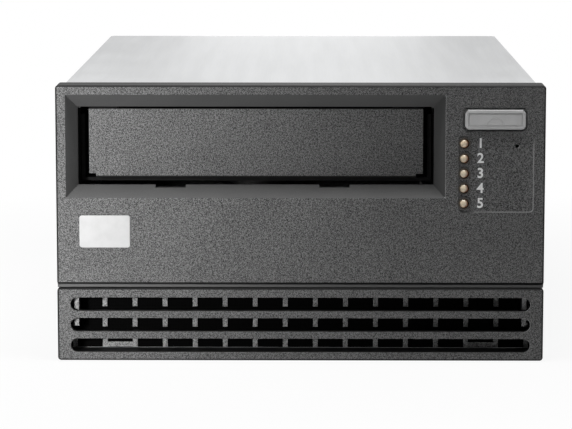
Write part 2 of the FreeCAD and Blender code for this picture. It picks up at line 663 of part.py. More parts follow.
def cartridge_door():
    solid = Solid("cartridge_door")
    notch_left, notch_right = "door_left + door_notch_width", "door_right - door_notch_width"
    notch_top = "door_base + door_notch_height"
    solid.pad("front", ("door_front", "door_front + door_thick"), polygon([
        (notch_left, "door_base"), (notch_right, "door_base"), (notch_right, notch_top),
        ("door_right", notch_top), ("door_right", "door_top"), ("door_left", "door_top"),
        ("door_left", notch_top), (notch_left, notch_top)]))
    for share in ("1 / 3", "2 / 3"):
        middle = f"door_base + {share} * door_height"
        solid.pad("front", ("door_front + door_thick", "door_front + door_thick + door_rib_height"),
                  panel(notch_left, notch_right, f"{middle} - door_rib_width / 2",
                        f"{middle} + door_rib_width / 2"))
    for start in ("door_left", "door_right - knuckle_length"):
        span = (start, f"{start} + knuckle_length")
        solid.pad("side", span, panel("door_front + door_thick / 2", "door_front + door_thick",
                                      "door_top - door_thick", "axle_z"))
        solid.pad("side", span, circle("axle_y", "axle_z", "knuckle_radius"))
    solid.pocket("side", ("door_left", "door_right"),
                 circle("axle_y", "axle_z", "door_axle_radius + shaft_gap"))
    solid.done()
    axle = rod("x", ("axle_y", "axle_z"), "door_axle_radius", ("left_ear", "right_ear + ear_thick"))
    node(axle, "door_axle")


# ---- eject button and the panel board ----------------------------------------------------

def eject_button():
    solid = Solid("eject_button")
    face = "front - button_proud"
    solid.pad("front", (face, "flange_back"), rounded(
        "button_left", "button_right", "button_base", "button_top", "button_corner"))
    solid.pad("front", ("flange_front", "flange_back"), panel(
        "button_left - button_gap - button_flange", "button_right + button_gap + button_flange",
        "button_base - button_gap - button_flange", "button_top + button_gap + button_flange"))
    solid.done()
    node(rod("y", ("button_centre", "button_middle"), "plunger_radius",
             ("flange_back", "flange_back + plunger_length"), "plunger"), "switch_plunger")
    half = "switch_side / 2"
    case = box((f"button_centre - {half}", f"button_centre + {half}"), ("switch_front", "panel_board"),
               (f"button_middle - {half}", f"button_middle + {half}"), "switch_case")
    bore = rod("y", ("button_centre", "button_middle"), "plunger_radius + shaft_gap",
               ("switch_front", "flange_back + plunger_length + button_travel + seat_gap"))
    node(cut(case, [bore]), "eject_switch")


def panel_board():
    solid = Solid("panel_board")
    solid.pad("front", ("panel_board", "panel_board + board_thick"), panel(
        "panel_board_left", "panel_board_right", "panel_board_base", "panel_board_top"))
    solid.pocket("front", ("panel_board", "panel_board + board_thick"),
                 *[circle(*at, "small_screw_radius + shaft_gap") for at in BOSSES])
    solid.done()
    screws = []
    for at in BOSSES:
        head = ("panel_board + board_thick", "panel_board + board_thick + small_head_thick")
        shank = ("panel_inside + seat_gap", "panel_board + board_thick + small_head_thick / 2")
        screws.append(fuse([rod("y", at, "small_head_radius", head),
                            rod("y", at, "small_screw_radius", shank)], "panel_screw"))
    node(gather(screws), "panel_screws")


def lights():
    """Clear rods that carry the light of five chips to the front of the bezel."""
    solid = Solid("light_guide")
    bar_back = "front + light_bar_front + light_bar_thick"
    ups = [f"light_low + {index} * light_pitch" for index in range(int(value("lights")))]
    edge = "light_across - light_radius / 2"
    solid.pad("front", ("front + light_bar_front", bar_back), panel(
        edge, f"{edge} + light_bar_width + light_radius", f"{ups[0]} - light_radius / 2",
        f"{ups[-1]} + light_radius / 2"))
    tip = "front - button_proud + light_radius"
    chip_front = "panel_board - chip_thick"
    solid.pad("front", (tip, f"{chip_front} - seat_gap"),
              *[circle("light_across", up, "light_radius") for up in ups])
    foot_left = f"{edge} + light_bar_width"
    for up in (ups[0], ups[-1]):
        solid.pad("front", (bar_back, "panel_board"), panel(
            foot_left, f"{foot_left} + light_radius", f"{up} - light_radius / 2",
            f"{up} + light_radius / 2"))
    domes = []
    chips = []
    for up in ups:
        dome = document.addObject("Part::Sphere", "dome")
        bind(dome, Radius="light_radius")
        domes.append(place(dome, "light_across", tip, up))
        half = "chip_side / 2"
        chips.append(box((f"light_across - {half}", f"light_across + {half}"),
                         (chip_front, "panel_board"), (f"{up} - {half}", f"{up} + {half}"), "chip"))
    node(fuse([solid.body] + domes, "pipes"), "light_pipes")
    node(gather(chips), "light_chips")


# ---- chassis, covers and rear panel ------------------------------------------------------

MOUNT_ROWS = ("body_base + mount_low", "body_base + mount_high")
MOUNT_STATIONS = ("body_front + mount_first", "body_front + mount_first + mount_pitch")
COVER_SCREWS = ("body_front + cover_screw_first", "body_front + cover_screw_first + cover_screw_pitch")
REAR_SCREW_UPS = ("foot_top + foot_width", "cover_screw_up")


def chassis():
    solid = Solid("chassis")
    ledge = "wall_out - sheet_thick"
    lip = "foot_in - lip_width"
    lip_top = "lip_base + lip_thick"
    upper = [("wall_out", "body_base"), ("wall_out", "skirt_base"), (ledge, "skirt_base"),
             (ledge, "cover_under"), ("wall_in", "cover_under"), ("wall_in", "deck_top")]
    lower = [("wall_in", "deck_under"), ("wall_in", "foot_top"), ("foot_in", "foot_top"),
             ("foot_in", lip_top), (lip, lip_top), (lip, "lip_base"), ("foot_in", "lip_base"),
             ("foot_in", "body_base")]

    def mirrored(corners):
        return [(f"-({across})", up) for across, up in reversed(corners)]

    solid.pad("front", ("body_front", "chassis_back"),
              polygon(upper + mirrored(upper) + mirrored(lower) + lower))
    solid.pocket("side", ("-wall_out", "wall_out"),
                 *[circle(along, up, "mount_radius") for along in MOUNT_STATIONS for up in MOUNT_ROWS])
    solid.pocket("side", ("-wall_out", "wall_out"),
                 *[circle(along, "cover_screw_up", "screw_radius + shaft_gap") for along in COVER_SCREWS])
    solid.pocket("top", ("body_base", "body_base + mount_deep"),
                 *[circle(f"{side} * mount_across / 2", along, "mount_radius")
                   for along in MOUNT_STATIONS for side in SIDES])
    solid.pocket("front", ("chassis_back - screw_length", "chassis_back"),
                 *[circle(f"{side} * (wall_in + wall_thick / 3)", up, "screw_radius / 2 + shaft_gap")
                   for up in REAR_SCREW_UPS for side in SIDES])
    bearing = "bearing_radius + shaft_gap"
    solid.pocket("top", ("deck_under", "deck_top"), circle("slot_centre", "supply_y", bearing),
                 circle("reel_across", "reel_y", bearing),
                 circle("loader_x", "loader_y", "gear_shaft_radius + shaft_gap"),
                 circle("motor_x", "motor_y", "gear_shaft_radius + seat_gap"),
                 circle("head_across", "head_y", "lead_radius + seat_gap"))
    solid.done()


def flat_screw(side, along, up):
    """A flush countersunk screw through the cover's skirt into the chassis wall."""
    skin, hold_in = "wall_out - sheet_thick", "wall_out - sheet_thick - screw_length / 2"
    if side > 0:
        head = cone("x", (along, up), ("screw_radius", "screw_head_radius"), (skin, "wall_out"))
        shank = rod("x", (along, up), "screw_radius", (hold_in, "wall_out"))
    else:
        head = cone("x", (along, up), ("screw_head_radius", "screw_radius"), ("-wall_out", f"-({skin})"))
        shank = rod("x", (along, up), "screw_radius", ("-wall_out", f"-({hold_in})"))
    return fuse([head, shank], "flat_screw")


def countersink(side, along, up):
    """The hole that a flush screw sits in."""
    skin = "wall_out - sheet_thick"
    wide, narrow = "screw_head_radius + shaft_gap", "screw_radius + shaft_gap"
    if side > 0:
        return cone("x", (along, up), (narrow, wide), (skin, "wall_out"))
    return cone("x", (along, up), (wide, narrow), ("-wall_out", f"-({skin})"))


def top_cover():
    solid = Solid("top_cover_sheet")
    ledge = "wall_out - sheet_thick"
    right = [("wall_out", "skirt_base"), ("wall_out", "cover_top")]
    left = [("-wall_out", "cover_top"), ("-wall_out", "skirt_base"), (f"-({ledge})", "skirt_base"),
            (f"-({ledge})", "cover_under")]
    solid.pad("front", ("body_front", "chassis_back"),
              polygon(right + left + [(ledge, "cover_under"), (ledge, "skirt_base")]))
    holes, screws = [], []
    for side in SIDES:
        for along in COVER_SCREWS:
            holes.append(countersink(side, along, "cover_screw_up"))
            screws.append(flat_screw(side, along, "cover_screw_up"))
    node(cut(solid.body, holes), "top_cover")
    node(gather(screws), "cover_screws")


def bottom_cover():
    solid = Solid("bottom_cover")
    edge = "foot_in - shaft_gap"
    solid.pad("top", ("body_base", "lip_base"),
              panel(f"-({edge})", edge, "body_front", "chassis_back"))
    solid.done()


def guard_slot(index):
    """One upright slot of the round fan guard, as long as its chord."""
    offset = f"({index} * guard_pitch)"
    reach = f"sqrt(fan_bore ^ 2 - {offset} ^ 2) - guard_slot_wide"
    return slot(f"fan_up - ({reach})", f"fan_up + {reach}", f"fan_across + {offset}",
                "guard_slot_wide / 2", upright=True)


def rear_panel():
    solid = Solid("rear_panel")
    solid.pad("front", ("chassis_back", "panel_back"),
              rounded("-wall_out", "wall_out", "body_base", "cover_top", "bezel_corner"))
    middle = int(value("guard_slots")) // 2
    solid.pocket("front", ("chassis_back", "panel_back"),
                 *[guard_slot(index) for index in range(-middle, middle + 1)])
    for left, wide, high in (("sas_left", "sas_width", "sas_height"),
                             ("service_left", "service_width", "service_height")):
        solid.pocket("front", ("chassis_back", "panel_back"),
                     panel(f"{left} - seat_gap", f"{left} + {wide} + seat_gap",
                           "board_top - seat_gap", f"board_top + {high} + seat_gap"))
    holes = [circle(f"{side} * (wall_in + wall_thick / 3)", up, "screw_radius / 2 + shaft_gap")
             for up in REAR_SCREW_UPS for side in SIDES]
    holes += [circle(across, up, "screw_radius + shaft_gap") for across, up in fan_corners()]
    solid.pocket("front", ("chassis_back", "panel_back"), *holes)
    solid.done()
    screws = []
    for up in REAR_SCREW_UPS:
        for side in SIDES:
            at = (f"{side} * (wall_in + wall_thick / 3)", up)
            screws.append(fuse([
                rod("y", at, "screw_radius", ("panel_back", "body_back")),
                rod("y", at, "screw_radius / 2", ("chassis_back - screw_length / 2", "body_back"))]))
    node(gather(screws), "rear_screws")


def fan_corners():
    """The fan's four screw places."""
    half = "fan_hole_pitch / 2"
    return [(f"fan_across + {x} * {half}", f"fan_up + {z} * {half}") for x in SIDES for z in SIDES]


# ---- loader: rails, carriage, tray and gears ---------------------------------------------

CARRIAGE_SPAN = ("front + carriage_front", "front + carriage_back")
LEFT_PLATE = ("plate_left - carriage_thick", "plate_left")
RIGHT_PLATE = ("plate_right", "plate_right + carriage_thick")
CAM_INNER = "plate_right + carriage_thick + moving_gap"
CAM_OUTER = "plate_right + carriage_thick + moving_gap + rail_lip"


def guide_rails():
    """Channels on the deck that carry the carriage's plates; the right one rises as the cam."""
    along = ("front + carriage_front", "front + rail_back")
    lip_top = "deck_top + rail_top"
    left = Solid("guide_rail_left")
    inner = "plate_left + moving_gap"
    left.pad("front", along, polygon([
        ("tab_gap - wall_in", "deck_top"), (f"{inner} + rail_lip", "deck_top"),
        (f"{inner} + rail_lip", lip_top), (inner, lip_top), (inner, "rail_deck"),
        ("tab_gap - wall_in", "rail_deck")]))
    left.done()
    right = Solid("guide_rail_right")
    inner = "plate_right - moving_gap"
    right.pad("front", along, polygon([
        (f"{inner} - rail_lip", "deck_top"), (CAM_OUTER, "deck_top"), (CAM_OUTER, lip_top),
        (CAM_INNER, lip_top), (CAM_INNER, "rail_deck"), (inner, "rail_deck"), (inner, lip_top),
        (f"{inner} - rail_lip", lip_top)]))
    right.pad("side", (CAM_INNER, CAM_OUTER),
              panel("front + cam_front", "front + cam_back", "rail_deck", "cam_top"))
    reach = "(pin_radius + shaft_gap) / sqrt(load_travel ^ 2 + drop_travel ^ 2)"
    shift = (f"drop_travel * {reach}", f"load_travel * {reach}")
    start = ("front + rear_pin", "pin_up")
    end = ("front + rear_pin + load_travel", "pin_up - drop_travel")
    corners = [(f"{at[0]} + {sign} * {shift[0]}", f"{at[1]} + {sign} * {shift[1]}")
               for at, sign in ((start, 1), (start, -1), (end, -1), (end, 1))]
    right.pocket("side", (CAM_INNER, CAM_OUTER), polygon(corners))
    for at in (start, end):
        right.pocket("side", (CAM_INNER, CAM_OUTER), circle(*at, "pin_radius + shaft_gap"))
    right.done()


def carriage():
    """An inverted U of sheet: two plates with upright slots, tied by a pierced roof."""
    solid = Solid("carriage")
    roof = ("carriage_top", "carriage_top + carriage_thick")
    for plate in (LEFT_PLATE, RIGHT_PLATE):
        solid.pad("side", plate, panel(*CARRIAGE_SPAN, "plate_base", roof[1]))
    roof_front = "front + carriage_roof_front"
    solid.pad("top", roof, panel(LEFT_PLATE[0], RIGHT_PLATE[1], roof_front, CARRIAGE_SPAN[1]))
    for side in SIDES:
        middle = f"slot_centre + {side} * roof_window_width * 2 / 3"
        solid.pocket("top", roof, rounded(
            f"{middle} - roof_window_width / 2", f"{middle} + roof_window_width / 2",
            "front + roof_window_front", "front + roof_window_back", "funnel_side"))
    slots = [slot("pin_up - drop_travel", "pin_up", f"front + {pin}", "pin_radius + shaft_gap",
                  upright=True) for pin in ("front_pin", "rear_pin")]
    solid.pocket("side", (LEFT_PLATE[0], RIGHT_PLATE[1]), *slots)
    solid.done()
    teeth = int(value("rack_teeth"))
    node(ready_made("carriage_rack", rack_shape(teeth)), "carriage_rack")


def cartridge_tray():
    solid = Solid("cartridge_tray")
    along = ("front + tray_front", "front + tray_stop + tray_back_thick")
    solid.pad("top", ("tray_floor", "tray_deck"), panel("tray_out_left", "tray_out_right", *along))
    for wall in (("tray_out_left", "tray_left"), ("tray_right", "tray_out_right")):
        solid.pad("side", wall, panel(*along, "tray_floor", "tray_top"))
    solid.pad("front", ("front + tray_stop", along[1]),
              panel("tray_out_left", "tray_out_right", "tray_floor", "tray_top"))
    solid.pocket("top", ("tray_floor", "tray_deck"),
                 slot("supply_y - load_travel", "supply_y", "slot_centre", "chuck_window", upright=True))
    solid.done()
    pins = []
    for pin, right_end in (("front_pin", RIGHT_PLATE[1]), ("rear_pin", CAM_OUTER)):
        at = (f"front + {pin}", "pin_up")
        pins.append(rod("x", at, "pin_radius", (LEFT_PLATE[0], "tray_out_left"), "pin"))
        pins.append(rod("x", at, "pin_radius", ("tray_out_right", right_end), "pin"))
    node(gather(pins), "tray_pins")


def ready_made(name, shape, *at):
    """A sub-part whose shape is worked out here from the sheet's values."""
    feature = document.addObject("Part::Feature", name)
    feature.Shape = shape
    if at:
        place(feature, *at)
    return feature


def extruded(points, low, high):
    """A prism with a vertical axis over an outline of (x, y) points."""
    wire = Part.makePolygon([FreeCAD.Vector(x, y, low) for x, y in points + points[:1]])
    return Part.Face(wire).extrude(UP * (high - low))


def rack_shape(teeth):
    """Straight-sided teeth along the carriage's right plate, with a gap facing the pinion."""
    module, slope = value("tooth_module"), math.tan(math.radians(value("pressure_angle")))
    line, back = value("rack_line"), value(RIGHT_PLATE[1])
    tip, root = line + value("addendum") * module, line - value("dedendum") * module
    pitch = math.pi * module
    half = pitch / 4 - value("backlash") / 4
    first = value("loader_y") + pitch / 2 - (teeth - 1) * pitch
    points = [(back, first - pitch / 2), (root, first - pitch / 2)]
    for index in range(teeth):
        middle = first + index * pitch
        low_half, high_half = half + (line - root) * slope, half - (tip - line) * slope
        points += [(root, middle - low_half), (tip, middle - high_half),
                   (tip, middle + high_half), (root, middle + low_half)]
    last = first + (teeth - 1) * pitch + pitch / 2
    points += [(root, last), (back, last)]
    return extruded(points, value("rack_base"), value("rack_base") + value("rack_height"))


def gear_points(teeth, turn):
    """Corners of an involute gear about the origin; turn is the angle of one tooth's middle."""
    module, pressure = value("tooth_module"), math.radians(value("pressure_angle"))
    pitch_radius = module * teeth / 2
    base = pitch_radius * math.cos(pressure)
    tip = pitch_radius + value("addendum") * module
    root = pitch_radius - value("dedendum") * module
    half_tooth = math.pi / (2 * teeth) - value("backlash") / (4 * pitch_radius)

    def half_angle(radius):
        """Half the tooth's angular thickness at a radius."""
        if radius <= base:
            return half_tooth + math.tan(pressure) - pressure
        here = math.acos(base / radius)
        return half_tooth + (math.tan(pressure) - pressure) - (math.tan(here) - here)

    start = max(base, root)
    radii = [root] + [start + (tip - start) * step / 3 for step in range(4)]
    if start - root < value("shaft_gap"):
        radii = radii[1:]
    points = []
    for index in range(teeth):
        middle = turn + 2 * math.pi * index / teeth
        flank = [(radius, half_angle(radius)) for radius in radii]
        for radius, spread in flank:
            points.append((radius * math.cos(middle - spread), radius * math.sin(middle - spread)))
        for radius, spread in reversed(flank):
            points.append((radius * math.cos(middle + spread), radius * math.sin(middle + spread)))
    return points


def gear_disc(teeth, turn, low, high):
    """A gear between two heights, centred on its own axis."""
    return extruded(gear_points(teeth, turn), low, high)


def post(radius, low, high):
    """A cylinder about the local vertical axis between two heights."""
    return Part.makeCylinder(radius, high - low, FreeCAD.Vector(0, 0, low))


def loader_gears():
    mesh = math.radians(value("mesh_angle"))
    wheel_low = value("wheel_base")
    wheel_high = wheel_low + value("wheel_height")
    pinion_top = value("rack_base + rack_height + tab_gap")
    wheel_teeth, pinion_teeth = int(value("loader_wheel_teeth")), int(value("rack_pinion_teeth"))
    motor_teeth = int(value("motor_pinion_teeth"))
    wheel = gear_disc(wheel_teeth, mesh, wheel_low, wheel_high)
    pinion = gear_disc(pinion_teeth, math.pi, wheel_high, pinion_top)
    bore = post(value("gear_shaft_radius + shaft_gap"), wheel_low, pinion_top)
    compound = wheel.fuse(pinion).cut(bore)
    node(ready_made("loader_gear", compound, "loader_x", "loader_y"), "loader_gear")
    shaft = post(value("gear_shaft_radius"), value("deck_under - bearing_thick"), wheel_low)
    gap_angle = mesh + math.pi + math.pi / motor_teeth
    small = gear_disc(motor_teeth, gap_angle, wheel_low, wheel_high).fuse(shaft)
    node(ready_made("motor_pinion", small, "motor_x", "motor_y"), "motor_pinion")
    at = ("loader_x", "loader_y")
    pin = rod("z", at, "gear_shaft_radius", ("deck_under", f"{pinion_top} + rail_lip"))
    collar = rod("z", at, "2 * gear_shaft_radius", ("deck_top", "wheel_base - seat_gap"))
    node(fuse([pin, collar], "pin_with_collar"), "gear_pin")
    can = rod("z", ("motor_x", "motor_y"), "loader_motor_radius",
              ("deck_under - loader_motor_height", "deck_under"))
    well = rod("z", ("motor_x", "motor_y"), "gear_shaft_radius + shaft_gap",
               ("deck_under - bearing_thick - seat_gap", "deck_under"))
    node(cut(can, [well]), "loader_motor")


# ---- spindles, tape path and head --------------------------------------------------------

def spindle_seat(name, across, along):
    """The bearing in the deck and the flat motor below it."""
    ring = rod("z", (across, along), "bearing_radius", ("deck_under", "deck_under + bearing_thick"))
    bore = rod("z", (across, along), "spindle_radius + shaft_gap",
               ("deck_under", "deck_under + bearing_thick"))
    node(cut(ring, [bore]), f"{name}_bearing")
    low = "deck_under - spin_motor_height"
    can = rod("z", (across, along), "spin_motor_radius", (low, "deck_under"))
    well = rod("z", (across, along), "spindle_radius + shaft_gap",
               (f"{low} + port_wall", "deck_under"))
    node(cut(can, [well]), f"{name}_motor")


def supply_spindle():
    spindle_seat("supply", "slot_centre", "supply_y")
    solid = Solid("supply_chuck")
    face = "chuck_top - chuck_tooth_height"
    foot = "deck_under - spin_motor_height + port_wall + seat_gap"
    solid.turn([("0", foot), ("spindle_radius", foot), ("spindle_radius", f"{face} - chuck_plate"),
                ("chuck_radius", f"{face} - chuck_plate"), ("chuck_radius", face), ("0", face)])
    share = "(180 / chuck_teeth)"
    rim, inner = "(chuck_radius - tab_gap)", "chuck_tooth_inner"
    corners = [(f"{radius} * cos({side} * {share} / 2)", f"{radius} * sin({side} * {share} / 2)")
               for radius, side in ((inner, -1), (rim, -1), (rim, 1), (inner, 1))]
    tooth = solid.pad("top", (face, "chuck_top"), polygon(corners))
    solid.ring(tooth, "chuck_teeth")
    solid.turn([("0", face), ("spindle_radius", face), ("spindle_radius / 2", "chuck_top"),
                ("0", "chuck_top")])
    place(solid.body, "slot_centre", "supply_y")
    solid.done()


def take_up_reel():
    spindle_seat("take_up", "reel_across", "reel_y")
    solid = Solid("take_up_reel")
    low = "reel_base + reel_flange"
    high = "reel_top - reel_flange"
    foot = "deck_under - spin_motor_height + port_wall + seat_gap"
    rim, hub, well = "reel_radius", "reel_hub_radius", "reel_hub_radius - spindle_radius"
    boss = "spindle_radius + reel_flange"
    solid.turn([("0", foot), ("spindle_radius", foot), ("spindle_radius", "reel_base"),
                (rim, "reel_base"), (rim, low), (hub, low), (hub, high), (rim, high),
                (rim, "reel_top"), (well, "reel_top"), (well, f"{low} + reel_flange"),
                (boss, f"{low} + reel_flange"), (boss, "reel_top - reel_flange"),
                ("0", "reel_top - reel_flange")])
    window = solid.pocket("top", ("reel_base", "reel_top"),
                          circle("reel_window_ring", "0", "reel_window_radius"))
    solid.ring(window, "reel_windows")
    half = "leader_width / 2"
    solid.pocket("top", (low, high), panel(
        f"-({half}) - tab_gap", f"{half} + tab_gap", f"{hub} - leader_length", hub))
    place(solid.body, "reel_across", "reel_y")
    solid.done()
    leader = Solid("leader_block")
    leader.pad("top", (low, f"{high} - seat_gap"), rounded(
        f"-({half})", half, f"{hub} - leader_length + tab_gap", f"{hub} - tab_gap", "bezel_corner"))
    place(leader.body, "reel_across", "reel_y")
    leader.done()


def tape_path():
    base = Solid("tape_path_plate")
    base.pad("top", ("deck_top", "path_top"),
             rounded("path_left", "path_right", "front + path_front", "front + path_back",
                     "funnel_side"))
    stations = [(f"roller_{index}_across", f"front + roller_{index}_depth") for index in (1, 2, 3, 4)]
    base.pocket("top", ("deck_top", "path_top"), circle("head_across", "head_y", "lead_radius + seat_gap"),
                *[circle(*at, "roller_pin + shaft_gap") for at in stations])
    base.done()
    roller_base = "path_top + roller_rise"
    pins = []
    for index, at in enumerate(stations, start=1):
        roller = Solid(f"guide_roller_{index}")
        bore, rim = "roller_pin + shaft_gap", "roller_rim"
        roller.turn([(bore, "0"), ("roller_flange", "0"), ("roller_flange", rim), ("roller_radius", rim),
                     ("roller_radius", f"roller_height - {rim}"),
                     ("roller_flange", f"roller_height - {rim}"), ("roller_flange", "roller_height"),
                     (bore, "roller_height")])
        place(roller.body, *at, roller_base)
        roller.done()
        pin = rod("z", at, "roller_pin", ("deck_top", f"{roller_base} + roller_height + roller_rim"))
        collar = rod("z", at, "2 * roller_pin", ("path_top", f"{roller_base} - seat_gap"))
        pins.append(fuse([pin, collar], "roller_post"))
    node(gather(pins), "roller_pins")


def head():
    """The head block climbs two posts as the lead screw turns."""
    posts = [("head_across", f"head_y + {side} * head_posts / 2") for side in SIDES]
    node(gather([rod("z", at, "post_radius", ("path_top", "post_top")) for at in posts]), "head_posts")
    wide, deep = "head_block_wide / 2", "head_block_deep / 2"
    footprint = ("head_across - " + wide, "head_across + " + wide,
                 "head_y - " + deep, "head_y + " + deep)
    centre = ("head_across", "head_y")
    block = Solid("head_carriage")
    block.pad("top", ("head_block_base", "head_block_top"), rounded(*footprint, "bezel_corner"))
    block.pocket("top", ("head_block_base", "head_block_top"),
                 circle(*centre, "lead_radius + shaft_gap"),
                 *[circle(*at, "post_radius + shaft_gap") for at in posts])
    block.done()
    bar = Solid("tape_head")
    middle = "(head_block_base + head_block_height / 2)"
    bar.pad("top", (f"{middle} - head_bar_height / 2", f"{middle} + head_bar_height / 2"), rounded(
        f"{footprint[0]} - head_bar_wide", footprint[0], "head_y - head_bar_deep / 2",
        "head_y + head_bar_deep / 2", "bezel_corner"))
    bar.done()
    bracket = Solid("head_bracket")
    bracket.pad("top", ("post_top", "post_top + top_bracket_thick"), rounded(*footprint, "bezel_corner"))
    bracket.pocket("top", ("post_top", "post_top + top_bracket_thick"),
                   circle(*centre, "lead_radius + shaft_gap"))
    bracket.done()
    low = "deck_under - stepper_height"
    node(rod("z", centre, "lead_radius", (f"{low} + port_wall + seat_gap",
                                          "post_top + top_bracket_thick"), "lead"), "lead_screw")
    can = rod("z", centre, "stepper_radius", (low, "deck_under"))
    well = rod("z", centre, "lead_radius + shaft_gap", (f"{low} + port_wall", "deck_under"))
    node(cut(can, [well]), "head_stepper")


# ---- electronics and cooling -------------------------------------------------------------

def main_board():
    solid = Solid("main_board")
    edge = "wall_in - tab_gap"
    notch = "fan_across - fan_side / 2 - moving_gap"
    solid.pad("top", ("foot_top", "board_top"), polygon([
        (f"-({edge})", "front + main_board_front"), (edge, "front + main_board_front"),
        (edge, "front + main_board_notch"), (notch, "front + main_board_notch"),
        (notch, "chassis_back"), (f"-({edge})", "chassis_back")]))
    solid.done()
    half = "processor_side / 2"
    chips = [box((f"processor_across - {half}", f"processor_across + {half}"),
                 (f"front + processor_depth - {half}", f"front + processor_depth + {half}"),
                 ("board_top", "board_top + package_thick"), "processor")]
    for index in range(int(value("memories"))):
        left = f"memory_across + {index} * memory_pitch"
        chips.append(box((left, f"{left} + memory_wide"),
                         ("front + memory_depth", "front + memory_depth + memory_long"),
                         ("board_top", "board_top + package_thick"), "memory"))
    node(gather(chips), "board_chips")
    cans = [rod("z", ("capacitor_across", f"front + capacitor_depth + {index} * capacitor_pitch"),
                "capacitor_radius", ("board_top", "board_top + capacitor_height"), "can")
            for index in range(int(value("capacitors")))]
    node(gather(cans), "board_capacitors")


def ports():
    """The serial-attached drive connector and the square service port, open at the rear."""
    for name, left, wide, high, long in (
            ("sas_connector", "sas_left", "sas_width", "sas_height", "sas_length"),
            ("service_port", "service_left", "service_width", "service_height", "service_length")):
        solid = Solid(name)
        start = f"body_back - {long}"
        solid.pad("front", (start, "body_back"),
                  panel(left, f"{left} + {wide}", "board_top", f"board_top + {high}"))
        solid.pocket("front", ("body_back - port_deep", "body_back"), panel(
            f"{left} + port_wall", f"{left} + {wide} - port_wall",
            "board_top + port_wall", f"board_top + {high} - port_wall"))
        if name == "sas_connector":
            middle = ("sas_left + sas_width / 2", "board_top + sas_height / 2")
            solid.pad("front", ("body_back - port_deep", "body_back - port_wall"), panel(
                f"{middle[0]} - tongue_wide / 2", f"{middle[0]} + tongue_wide / 2",
                f"{middle[1]} - tongue_thick / 2", f"{middle[1]} + tongue_thick / 2"))
        solid.done()


def fan():
    frame = Solid("fan_frame")
    half = "fan_side / 2"
    base = ("chassis_back - fan_disc", "chassis_back")
    centre = ("fan_across", "fan_up")
    frame.pad("front", ("fan_front", "chassis_back"), rounded(
        f"fan_across - {half}", f"fan_across + {half}", f"fan_up - {half}", f"fan_up + {half}",
        "fan_disc"))
    frame.pocket("front", ("fan_front", "chassis_back"), circle(*centre, "fan_bore"))
    frame.pad("front", base, circle(*centre, "fan_hub_radius"))
    for wide, high in (("fan_bore + fan_strut / 2", "fan_strut / 2"),
                       ("fan_strut / 2", "fan_bore + fan_strut / 2")):
        frame.pad("front", base, panel(f"fan_across - ({wide})", f"fan_across + {wide}",
                                       f"fan_up - ({high})", f"fan_up + {high}"))
    frame.pocket("front", base, circle(*centre, "fan_shaft_radius + shaft_gap"))
    frame.pocket("front", ("fan_front", "chassis_back"),
                 *[circle(*at, "fan_hole_radius") for at in fan_corners()])
    frame.done()
    node(ready_made("fan_rotor", rotor_shape(), *("fan_across", "0", "fan_up")), "fan_rotor")
    screws = []
    for at in fan_corners():
        screws.append(fuse([
            rod("y", at, "screw_head_radius", ("panel_back", "body_back")),
            rod("y", at, "screw_radius", ("chassis_back - screw_length", "body_back"))]))
    node(gather(screws), "fan_screws")


def blade_section(radius, chord, pitch, middle):
    """One cambered section of a blade on the plane X = radius; the fan turns about Y."""
    thick, sag = value("fan_blade_thick") / 2, value("fan_camber") * chord
    lean = math.radians(pitch)

    def at(along, off):
        """A point by its place along the chord and off it."""
        tangential = along * math.cos(lean) - off * math.sin(lean)
        axial = along * math.sin(lean) + off * math.cos(lean)
        return FreeCAD.Vector(radius, middle + axial, tangential)

    half = chord / 2
    upper = Part.Arc(at(-half, thick), at(0, sag + thick), at(half, thick)).toShape()
    lower = Part.Arc(at(half, -thick), at(0, sag - thick), at(-half, -thick)).toShape()
    lead = Part.makeLine(at(half, thick), at(half, -thick))
    trail = Part.makeLine(at(-half, -thick), at(-half, thick))
    return Part.Wire([upper, lead, lower, trail])


def rotor_shape():
    """The fan's cup and its twisted blades, about the Y axis."""
    tip = value("fan_bore - fan_tip_gap")
    hub = value("fan_hub_radius")
    back = value("chassis_back - fan_disc - moving_gap")
    front = back - value("fan_hub_length")
    middle = (front + back) / 2
    along = FreeCAD.Vector(0, 1, 0)
    cup = Part.makeCylinder(hub, back - front, FreeCAD.Vector(0, front, 0), along)
    inner, outer = hub - value("fan_blade_thick"), tip + value("fan_blade_thick")
    blade = Part.makeLoft([
        blade_section(radius, value("fan_blade_chord_hub") + share * value(
            "fan_blade_chord_tip - fan_blade_chord_hub"),
            value("fan_pitch_hub") + share * value("fan_pitch_tip - fan_pitch_hub"), middle)
        for radius, share in ((inner, 0.0), ((inner + outer) / 2, 0.5), (outer, 1.0))], True)
    envelope = Part.makeCylinder(tip, back - front, FreeCAD.Vector(0, front, 0), along)
    blade = blade.common(envelope)
    count = int(value("fan_blades"))
    blades = []
    for index in range(count):
        turned = blade.copy()
        turned.rotate(FreeCAD.Vector(), along, 360.0 * index / count)
        blades.append(turned)
    shaft = Part.makeCylinder(value("fan_shaft_radius"), value("fan_disc + moving_gap"),
                              FreeCAD.Vector(0, back, 0), along)
    return cup.multiFuse(blades + [shaft]).removeSplitter()


# ---- build, check and write --------------------------------------------------------------

for make in (front_bezel, vent_grille, dust_screen, cartridge_door, eject_button, panel_board,
             lights, chassis, top_cover, bottom_cover, rear_panel, guide_rails, carriage,
             cartridge_tray, loader_gears, supply_spindle, take_up_reel, tape_path, head,
             main_board, ports, fan):
    make()

document.recompute()
for item in document.Objects:
    if {"Invalid", "Error"} & set(item.State):
        raise RuntimeError(f"{item.Name} failed: {item.State}")
os.makedirs("parts", exist_ok=True)
for item in NODES:
    shape = item.Shape
    if shape.isNull() or not shape.isValid():
        raise RuntimeError(f"{item.Label} has no valid shape")
    shape.exportStep(f"parts/{item.Label}.step")
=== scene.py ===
"""Data tape drive: finishes, small fittings and studio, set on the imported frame.

Metres; +X is right seen from the front, +Y runs back into the drive, +Z is up.
"""
import math

import bmesh
import bpy
from mathutils import Matrix, Vector

